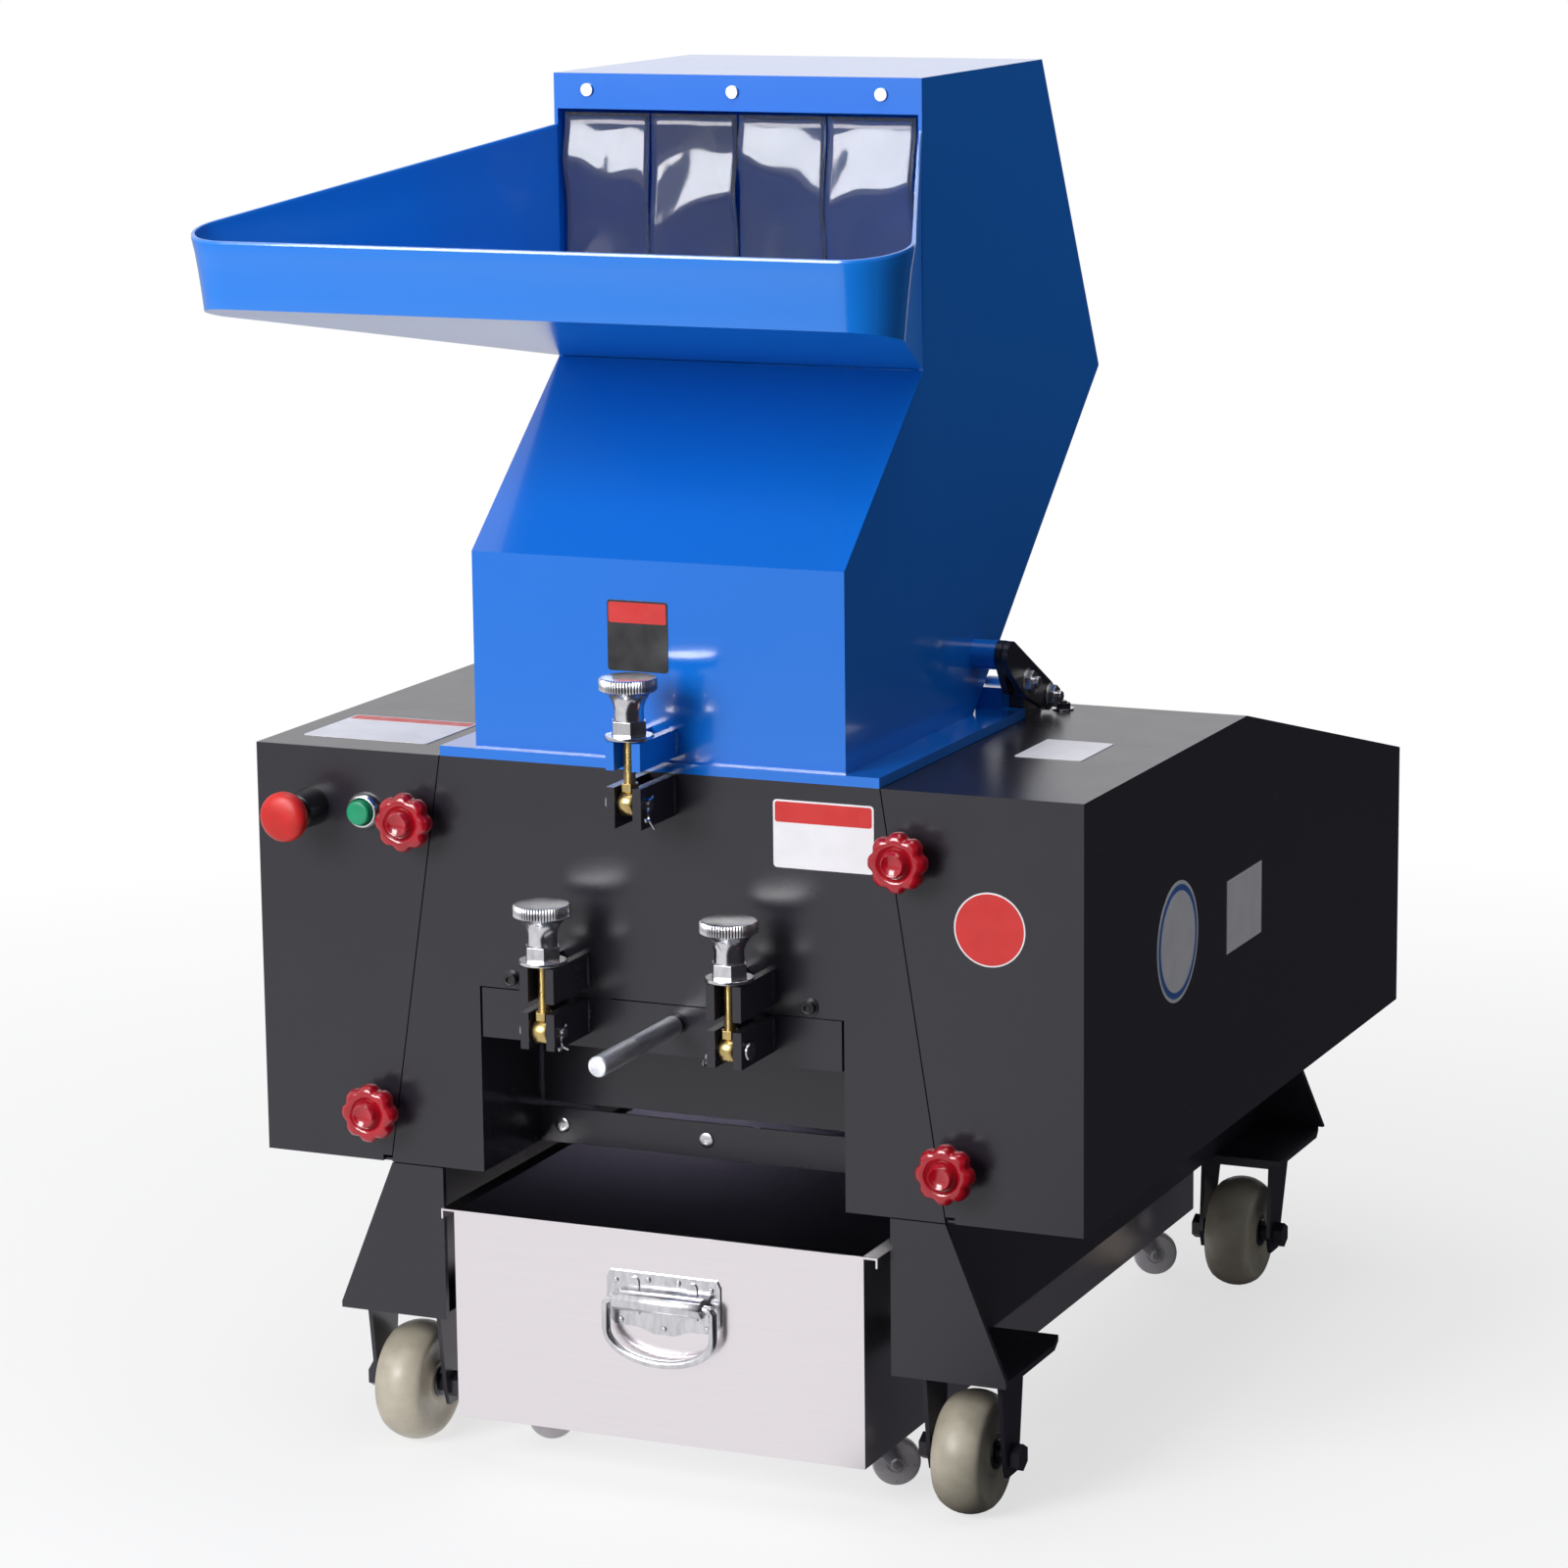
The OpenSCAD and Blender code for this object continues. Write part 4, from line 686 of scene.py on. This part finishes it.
def weld_bead(x, y, low, high, seed):
    """An upright bead of uneven ripples between two heights."""
    draw = random.Random(seed)
    steps = max(6, int((high - low) / BEAD_PITCH))
    verts, faces = [], []
    sides = 8
    for step in range(steps + 1):
        swell = BEAD_RADIUS + 0.5 * math.sin(step * 2.1) + draw.uniform(-0.25, 0.25)
        swell *= min(1, 0.5 + 2 * min(step, steps - step) / steps)
        for side in range(sides):
            angle = TURN * side / sides
            verts.append((x + swell * math.cos(angle), y + swell * math.sin(angle),
                          low + (high - low) * step / steps))
    for step in range(steps):
        for side in range(sides):
            after = (side + 1) % sides
            faces.append((step * sides + side, step * sides + after, (step + 1) * sides + after,
                          (step + 1) * sides + side))
    faces.append(tuple(reversed(range(sides))))
    faces.append(tuple(steps * sides + side for side in range(sides)))
    return verts, faces


def weld_beads():
    fixed = [(2, 549, 578), (-75, 406, 431), (83, 406, 431)]
    forms = [weld_bead(x + side * ARM_OUT, PANEL_BEAD_Y, low, high, i * 2 + side)
             for i, (x, low, high) in enumerate(fixed) for side in (-1, 1)]
    piece("weld_beads_panel", forms, BLACK, "frame", sharp=80)
    forms = [weld_bead(x + side * ARM_OUT, PANEL_BEAD_Y, 369, 394, x + side)
             for x in (-75, 83) for side in (-1, 1)]
    piece("weld_beads_cradle", forms, BLACK, "cradle", sharp=80)
    forms = [weld_bead(2 + side * ARM_OUT, HOPPER_BEAD_Y, 594, 612, 7 + side) for side in (-1, 1)]
    piece("weld_beads_hopper", forms, BLUE, "hopper", sharp=80)


# Screws: socket heads on the middle panel, rivet nuts in the recess, a hexagon bolt on each hood

PANEL_SCREW_Z = 405
RECESS = 102
RIVET_NUT_Z = 259.5
HOOD_TOP = 580
HOOD_BOLT_Y = 355


def socket_head(depth, radius, recess):
    """A head with a six-sided recess, standing along Z."""
    def six(reach, angle, place):
        if place < 6:
            return reach
        return reach / max(0.87, math.cos((angle + TURN / 12) % (TURN / 6) - TURN / 12))

    profile = [(0, 0), (radius, 0), (radius + 0.4, 0.4), (radius + 0.4, depth - 0.6), (radius - 0.2, depth),
               (recess + 0.9, depth), (recess, depth - 0.2), (recess * 0.94, depth - 2.2), (0, depth - 2.4)]
    return lathe(profile, 36, six)


def panel_screws():
    forms, looks = [], []
    for x in (-127.5, 127.5):
        forms += [moved(disc(7.2, 0, 1.2), x, 0, PANEL_SCREW_Z, FORWARD),
                  moved(socket_head(5.5, 5.4, 2.6), x, 0, PANEL_SCREW_Z, FORWARD)]
        looks += [DARK_STEEL, BLACK_PLASTIC]
    for x in (-136, -8, 120):
        nut = lathe([(2.2, 0), (6, 0), (6.4, 0.5), (6.2, 1.1), (5.4, 1.5), (2.4, 1.5), (2.2, 1.2)], 30)
        # The small black plastic disc in each rivet nut's bore is painted shade for the hole
        forms += [moved(form, x, RECESS, RIVET_NUT_Z, FORWARD) for form in (nut, disc(2.3, 0.2, 0.5, 20))]
        looks += [ZINC, BLACK_PLASTIC]
    for x in (-201.5, 201.5):
        end = lathe([(0, 5.6), (3.4, 5.6), (3.1, 7.2), (0, 7.4)], 20)
        forms += [moved(form, x, HOOD_BOLT_Y, HOOD_TOP)
                  for form in (disc(9, 0, 1.3), prism(hexagon(6.6), 1.3, 5.6), end)]
        looks += [ZINC, DARK_STEEL, DARK_STEEL]
    piece("panel_screws", forms, looks, "frame", ["panel_fasteners"], bevel=0.25, sharp=40)


# Nuts on the pivot bolts of the two straps beside the hopper

# Name, body, place and the length of bolt outside the strap
STAY_NUTS = (("stay_nut_low", "frame", (196.4, 338, 594), 11),
             ("stay_nut_elbow", "lower_stay", (196, 287.4, 614.1), 11),
             ("stay_nut_high", "hopper", (183.4, 273, 637), 7.2))


def stay_nuts():
    for name, body, place, end in STAY_NUTS:
        bolt = lathe([(0, 6.2), (4.6, 6.2), (4.6, end - 0.7), (3.9, end), (0, end)], 20)
        forms = [moved(form, *place, SIDEWAYS)
                 for form in (disc(10.6, 0, 0.9), prism(hexagon(9.4), 0.9, 6.2), bolt)]
        piece(name, forms, ZINC, body, bevel=0.3, sharp=40)


# Blank sign plates

RIGHT_SIDE = 351
FRONT_SIGN_X = 140.4
ROUND_SIGN = (275.7, 0, 478)
SIDE_DISC = (RIGHT_SIDE, 212, 429)


def rounded(width, height, corner):
    """Corners of a rounded rectangle round the origin."""
    points = []
    for sx, sy, start in ((1, 1, 0), (-1, 1, 90), (-1, -1, 180), (1, -1, 270)):
        points += arc((sx * (width / 2 - corner), sy * (height / 2 - corner)), corner, start, start + 90, 5)
    return points


def signs():
    front = [moved(prism(rounded(83.2, 53, 3), 0, 0.45), FRONT_SIGN_X, 0, 539.5, FORWARD),
             moved(prism(rounded(80, 16, 2), 0.4, 0.6), FRONT_SIGN_X, 0, 556.6, FORWARD),
             moved(disc(28.8, 0, 0.35, 56), *ROUND_SIGN, FORWARD),
             moved(disc(27.6, 0.3, 0.6, 56), *ROUND_SIGN, FORWARD)]
    side = [moved(disc(48.5, 0, 0.3, 64), *SIDE_DISC, SIDEWAYS),
            moved(disc(45.5, 0.25, 0.45, 64), *SIDE_DISC, SIDEWAYS),
            moved(disc(40.5, 0.4, 0.6, 64), *SIDE_DISC, SIDEWAYS),
            box((RIGHT_SIDE, 332, 392), (RIGHT_SIDE + 0.6, 419, 452))]
    looks = [WHITE_SIGN, RED_SIGN, WHITE_SIGN, RED_SIGN, WHITE_SIGN, BLUE_SIGN, WHITE_SIGN, WHITE_SIGN]
    piece("signs_blank", front + side, looks, "frame", ["label_plates"])
    tops = [moved(prism(rounded(112, 92, 3), 0, 0.4), -274, 84, HOOD_TOP),
            moved(prism(rounded(108, 14, 2), 0.35, 0.5), -274, 121, HOOD_TOP),
            moved(prism(rounded(56, 74, 2), 0, 0.4), 264, 191, HOOD_TOP)]
    piece("signs_on_hood_tops", tops, [WHITE_SIGN, RED_SIGN, WHITE_SIGN], "frame")
    tag = [moved(prism(rounded(51, 55, 2.5), 0, 0.5), -15.5, 5, 684, FORWARD),
           moved(prism(rounded(48.6, 16, 1.5), 0.45, 0.65), -15.5, 5, 702, FORWARD)]
    piece("sign_on_hopper", tag, [BLACK_PLASTIC, RED_SIGN], "hopper")


# Controls on the left hood

STOP_X, START_X = -302.5, -254.8
CONTROLS_Z = 531.0


def controls():
    collar = ring([(8.4, -1), (8.4, 27.4), (12.6, 27.4), (14.2, 26.4), (14.8, 24), (15, 8), (15.4, 6),
                   (15.4, 0.2), (11, 0.2), (11, -30), (10.2, -31), (8.4, -31)], 48)
    bezel = ring([(10.3, 2), (10.3, 5.4), (11.4, 6.6), (12.6, 6.4), (14, 4.4), (14.75, 1.6), (14.75, 0.2),
                  (11, 0.2), (11, -26), (10.3, -26)], 48)
    forms = [moved(collar, STOP_X, 0, CONTROLS_Z, FORWARD), moved(bezel, START_X, 0, CONTROLS_Z, FORWARD)]
    piece("switch_collars", forms, [BLACK_PLASTIC, ZINC], "frame", ["switch_housings"], sharp=40)
    mushroom = lathe([(0, 22), (7.8, 22), (7.8, 34), (13.5, 35.5), (16.4, 37.5), (16.8, 39.6), (19.6, 41),
                      (20, 42.6), (20, 46.2), (19.4, 48.4), (17.6, 50.4), (14.4, 51.8), (9.6, 52.7),
                      (4.5, 53), (0, 53)], 64)
    piece("stop_mushroom", [moved(mushroom, STOP_X, 0, CONTROLS_Z, FORWARD)], STOP_RED, "stop",
          ["stop_button"], sharp=50)
    cap = lathe([(0, -12), (9.6, -12), (9.8, 5), (9.8, 11.6), (9.2, 12.6), (8, 13), (5, 12.8), (0, 12.6)], 48)
    piece("start_cap", [moved(cap, START_X, 0, CONTROLS_Z, FORWARD)], GREEN, "start", ["start_button"],
          sharp=50)


handle_rod()
weld_beads()
panel_screws()
stay_nuts()
signs()
controls()


# Bin handle: pressed plate, rolled hinge tube and a bail with a bowed grip

BAIL_X, BAIL_Y, BAIL_Z = 7.0, -24.0, 161.0
BIN_FRONT = -14.0
PLATE_FOOT = 133.0
PLATE_THICK = 1.6


def bin_handle():
    foot = [(-46, 9), (-42, 5), (-24, 5), (-17, 3), (-9, -1.5), (0, -4), (9, -1.5), (17, 3), (24, 5),
            (42, 5), (46, 9)]
    outline = foot + [(49, 12), (49, 43), (46, 49), (-46, 49), (-49, 43), (-49, 12)]
    plate = prism([(x, PLATE_FOOT + max(0, z)) for x, z in outline], 0, PLATE_THICK)
    barrel = ring([(3.7, -38), (7.4, -38), (7.9, -37.4), (7.9, 37.4), (7.4, 38), (3.7, 38)], 28)
    forms = [moved(plate, BAIL_X, BIN_FRONT, 0, FORWARD), moved(barrel, BAIL_X, BAIL_Y, BAIL_Z, SIDEWAYS)]
    # Tongues of the rolled tube on the plate, and rivets
    for x in (-25, 25):
        tongue = [(-4.5, 148), (4.5, 148)] + arc((0, 174), 4.5, 0, 180, 8)
        forms.append(moved(prism(tongue, 1.4, 3.0), BAIL_X + x, BIN_FRONT, 0, FORWARD))
    rivet = lathe([(0, 0), (2.6, 0), (2.6, 1.9), (1.9, 2.9), (0, 3.2)], 20)
    for x, z in ((-41, 174), (41, 174), (-37, 142), (37, 142), (0, 138), (-13, 177), (13, 177)):
        forms.append(moved(rivet, BAIL_X + x, BIN_FRONT, z, FORWARD))
    piece("bin_handle_plate", forms, ZINC, "bin", ["bin_handle"], bevel=0.3, sharp=40)


def bin_bail():
    """A closed wire: along its hinge, down one side, round the bowed grip and up the other side."""
    side, drop = 46.0, 49.0
    wire = 3.45
    path = [(BAIL_X - 33 + 66 * t, BAIL_Y, BAIL_Z) for t in (0, 0.5, 1)]
    path += [(BAIL_X + side - 2 + 2 * s, BAIL_Y, BAIL_Z - 0.5 - 3 * s) for s in (0, 1)]
    path += [(BAIL_X + side, BAIL_Y, BAIL_Z - drop * t) for t in (0.3, 0.5)]
    turns = [math.radians(degrees) for degrees in range(10, 171, 10)]
    bow = [(side * math.cos(turn), drop * 0.5 * math.sin(turn)) for turn in turns]
    path += [(BAIL_X + x, BAIL_Y, BAIL_Z - drop * 0.5 - z) for x, z in bow]
    path += [(BAIL_X - side, BAIL_Y, BAIL_Z - drop * t) for t in (0.5, 0.3)]
    path += [(BAIL_X - side + 2 - 2 * s, BAIL_Y, BAIL_Z - 0.5 - 3 * s) for s in (1, 0)]
    piece("bin_bail_wire", [tube(path, wire, 14, closed=True)], ZINC, "bail", ["bin_bail"], sharp=60)


# Bin rim: the hemmed edge of the folded box

HEM = 0.85
RIM_HALF, RIM_TOP, RIM_BACK = 188.0, 215.0, 760.0


def bin_trim():
    z = RIM_TOP - 0.9
    forms = [tube([(-RIM_HALF + 1.2, -13.2, z), (RIM_HALF - 1.2, -13.2, z)], HEM, 8)]
    for side in (-1, 1):
        x = side * (RIM_HALF - 0.9)
        forms.append(tube([(x, -13, z), (x, RIM_BACK, z)], HEM, 8))
    piece("bin_rim_hem", forms, STAINLESS, "bin", sharp=60)


# Wheels of the bin: clear grey tyres in pressed forks

BIN_TURN = math.radians(-66)
SMALL_RADIUS = 19.5
SMALL_TRAIL = 12.0
SMALL_WHEEL_X = 152
BIN_ROWS = (("front", 77.0), ("rear", 690.0))
SIDES = (("left", -1), ("right", 1))


def small_tyre():
    """The tyre and hub of a bin wheel in one turned form."""
    half = [(3.1, -6.4), (7.2, -6.4), (8, -7.6), (15.5, -8), (17.8, -7.2), (19.1, -5), (19.5, -2.2)]
    return ring(half + [(radius, -height) for radius, height in reversed(half)], 48)


def fork_blade(arm):
    """One side of the pressed fork, from its crown down to the axle."""
    near, far = (9.1, 11) if arm > 0 else (-11, -9.1)
    outline = [(-10, 40.3), (-10, 37), (4.5, 20)] + arc((SMALL_TRAIL, SMALL_RADIUS), 5.6, 190, 350, 8)
    verts, faces = prism(outline + [(10, 36), (10, 40.3)], near, far)
    return [(z, x, y) for x, y, z in verts], faces


def bin_casters():
    swivel = Matrix.Rotation(BIN_TURN, 4, "Z")
    across = swivel @ SIDEWAYS
    crown = lathe([(0, 40.3), (14.6, 40.3), (16.6, 41), (17, 42.3), (0, 42.4)], 40)
    axle = lathe([(0, -12.6), (2.9, -12.6), (3, -12), (3, 12), (2.9, 12.6), (0, 12.6)], 20)
    for row, y in BIN_ROWS:
        for side, sx in SIDES:
            place = sx * SMALL_WHEEL_X
            centre = (place - SMALL_TRAIL * math.sin(BIN_TURN), y + SMALL_TRAIL * math.cos(BIN_TURN))
            wheel, fork = f"bin_wheel_{row}_{side}", f"bin_fork_{row}_{side}"
            tyre = moved(small_tyre(), *centre, SMALL_RADIUS, across)
            piece(wheel + "_tyre", [tyre], GREY_PLASTIC, wheel, [wheel], sharp=40)
            forms = [moved(fork_blade(arm), place, y, 0, swivel) for arm in (-1, 1)]
            forms.append(moved(crown, place, y, 0))
            forms.append(moved(axle, *centre, SMALL_RADIUS, across))
            for low, high in ((-13.4, -11), (11, 13.4)):
                forms.append(moved(prism(hexagon(4.6), low, high), *centre, SMALL_RADIUS, across))
            piece(fork + "_pressed", forms, ZINC, fork, [fork], bevel=0.3, sharp=40)


# Machine wheels: barrel tread with rounded shoulders, recessed hub and bearing

WHEEL_RADIUS = 49.0
WHEEL_X = 243
WHEEL_ROWS = (("front", 45.0), ("rear", 695.0))


def machine_wheels():
    right = [(7.2, 19.4), (16, 19.4), (17, 18.2), (19, 17.4), (24, 16.6), (30, 17.2), (34, 18.8),
             (37.5, 19.9), (40.5, 19.6), (43.4, 17.2), (45.8, 13.4), (47.7, 8.8), (48.7, 4.4), (49, 0)]
    tyre = ring([(r, -h) for r, h in right] + [(r, h) for r, h in reversed(right[:-1])], 72)
    hub = lathe([(7.4, 17.2), (7.4, 21.5), (11, 21.5), (12, 20.6), (12.4, 17.2)], 32)
    mirror = Matrix.Rotation(math.pi, 4, "Z")
    for row, y in WHEEL_ROWS:
        for side, sx in SIDES:
            name = f"{row}_wheel_{side}"
            x = sx * WHEEL_X
            piece(name + "_tread", [moved(tyre, x, y, WHEEL_RADIUS, SIDEWAYS)], TREAD, name, [name],
                  sharp=45)
            hubs = [moved(hub, x, y, WHEEL_RADIUS, turn @ SIDEWAYS) for turn in (Matrix(), mirror)]
            piece(name + "_hub", hubs, DARK_STEEL, name, sharp=40)


bin_handle()
bin_bail()
bin_trim()
bin_casters()
machine_wheels()


# Stage: floor, light and camera

FLOOR_SIZE = 60
# Name, place, aim, size and power of each lamp
LAMPS = (("key", (-1.3, -4.0, 2.2), (0, 0, 0.6), 2.0, 178),
         ("top", (0.2, -0.4, 3.6), (0, 0, 0.6), 2.6, 55),
         ("fill", (3.4, -1.6, 1.8), (0, 0, 0.5), 2.0, 1.5))
CAMERA_PLACE = (1.6170, -3.7241, 1.3326)
CAMERA_TURN = (78.6072, 0.6151, 23.6401)
CAMERA_LENS = 115.258
CAMERA_SENSOR = 36


def mixed(tree, share, first, second):
    """One shader that goes over into another by a share."""
    made = add(tree, "MixShader")
    tree.links.new(share, made.inputs["Fac"])
    tree.links.new(first, made.inputs[1])
    tree.links.new(second, made.inputs[2])
    return made.outputs["Shader"]


def either(tree, first, second):
    """The larger of two values."""
    made = add(tree, "Math", "MAXIMUM")
    tree.links.new(first, made.inputs[0])
    tree.links.new(second, made.inputs[1])
    return made.outputs["Value"]


def stage_floor():
    """A white floor that fades into the white surroundings and keeps the shadow."""
    bpy.ops.mesh.primitive_plane_add(size=FLOOR_SIZE, location=(0, 0, 0))
    floor = bpy.context.object
    floor.name = "floor"
    mat = new_material("floor", (0.86, 0.86, 0.87), 0.9, Specular_IOR_Level=0.1)
    tree = mat.node_tree
    links = tree.links
    glow = add(tree, "Emission", Strength=1.0)
    where = add(tree, "TexCoord").outputs["Object"]
    far = add(tree, "VectorMath", "LENGTH")
    links.new(where, far.inputs[0])
    # From 0.6 to 2.2 m away the painted floor goes over into pure white
    fade = add(tree, "MapRange", From_Min=0.6, From_Max=2.2, To_Min=0.68, To_Max=1.0)
    links.new(far.outputs["Value"], fade.inputs["Value"])
    shader = tree.nodes["Principled BSDF"].outputs["BSDF"]
    seen = mixed(tree, fade.outputs["Result"], shader, glow.outputs["Emission"])
    # The right side of the machine meets a dark floor, as in a studio with a black flag
    flag = add(tree, "Emission")
    place = add(tree, "SeparateXYZ")
    links.new(where, place.inputs["Vector"])
    tone = ramp(tree, place.outputs["X"], (0.1, (0.85, 0.85, 0.87)), (0.2, (0.02, 0.02, 0.025)))
    links.new(tone, flag.inputs["Color"])
    # Reflections from far off, high on the machine, are dimmer
    reach = add(tree, "MapRange", From_Min=2.4, From_Max=4.2, To_Min=1.0, To_Max=0.5)
    links.new(far.outputs["Value"], reach.inputs["Value"])
    links.new(reach.outputs["Result"], flag.inputs["Strength"])
    ray = add(tree, "LightPath")
    indirect = either(tree, ray.outputs["Is Glossy Ray"], ray.outputs["Is Diffuse Ray"])
    whole = mixed(tree, indirect, seen, flag.outputs["Emission"])
    links.new(whole, tree.nodes["Material Output"].inputs["Surface"])
    floor.data.materials.append(mat)


def stage_world():
    """White for the camera and in reflections, darker towards the right; soft grey light on the object."""
    world = bpy.data.worlds.new("studio")
    bpy.context.scene.world = world
    world.use_nodes = True
    tree = world.node_tree
    tree.nodes.clear()
    soft = add(tree, "Background", Color=(0.19, 0.2, 0.215, 1))
    white = add(tree, "Background", Color=(1, 1, 1, 1))
    mirrored = add(tree, "Background")
    side = add(tree, "SeparateXYZ")
    tree.links.new(add(tree, "TexCoord").outputs["Generated"], side.inputs["Vector"])
    tone = ramp(tree, side.outputs["X"], (0.0, (0.92, 0.92, 0.94)), (0.3, (0.04, 0.04, 0.05)))
    tree.links.new(tone, mirrored.inputs["Color"])
    ray = add(tree, "LightPath")
    sharp = either(tree, ray.outputs["Is Glossy Ray"], ray.outputs["Is Transmission Ray"])
    light = mixed(tree, sharp, soft.outputs["Background"], mirrored.outputs["Background"])
    whole = mixed(tree, ray.outputs["Is Camera Ray"], light, white.outputs["Background"])
    tree.links.new(whole, add(tree, "OutputWorld").inputs["Surface"])


def stage_lamp(name, place, aim, size, energy):
    """A square lamp that faces the point it aims at."""
    data = bpy.data.lights.new(name, "AREA")
    data.size = size
    data.energy = energy
    light = bpy.data.objects.new(name, data)
    light.location = place
    light.rotation_euler = (Vector(aim) - Vector(place)).to_track_quat("-Z", "Y").to_euler()
    bpy.context.collection.objects.link(light)


def stage_camera():
    data = bpy.data.cameras.new("camera")
    data.sensor_width = CAMERA_SENSOR
    data.lens = CAMERA_LENS
    camera = bpy.data.objects.new("camera", data)
    camera.location = CAMERA_PLACE
    camera.rotation_euler = [math.radians(turn) for turn in CAMERA_TURN]
    bpy.context.collection.objects.link(camera)
    bpy.context.scene.camera = camera


stage_floor()
stage_world()
for settings in LAMPS:
    stage_lamp(*settings)
stage_camera()
bpy.context.scene.view_settings.view_transform = "Standard"
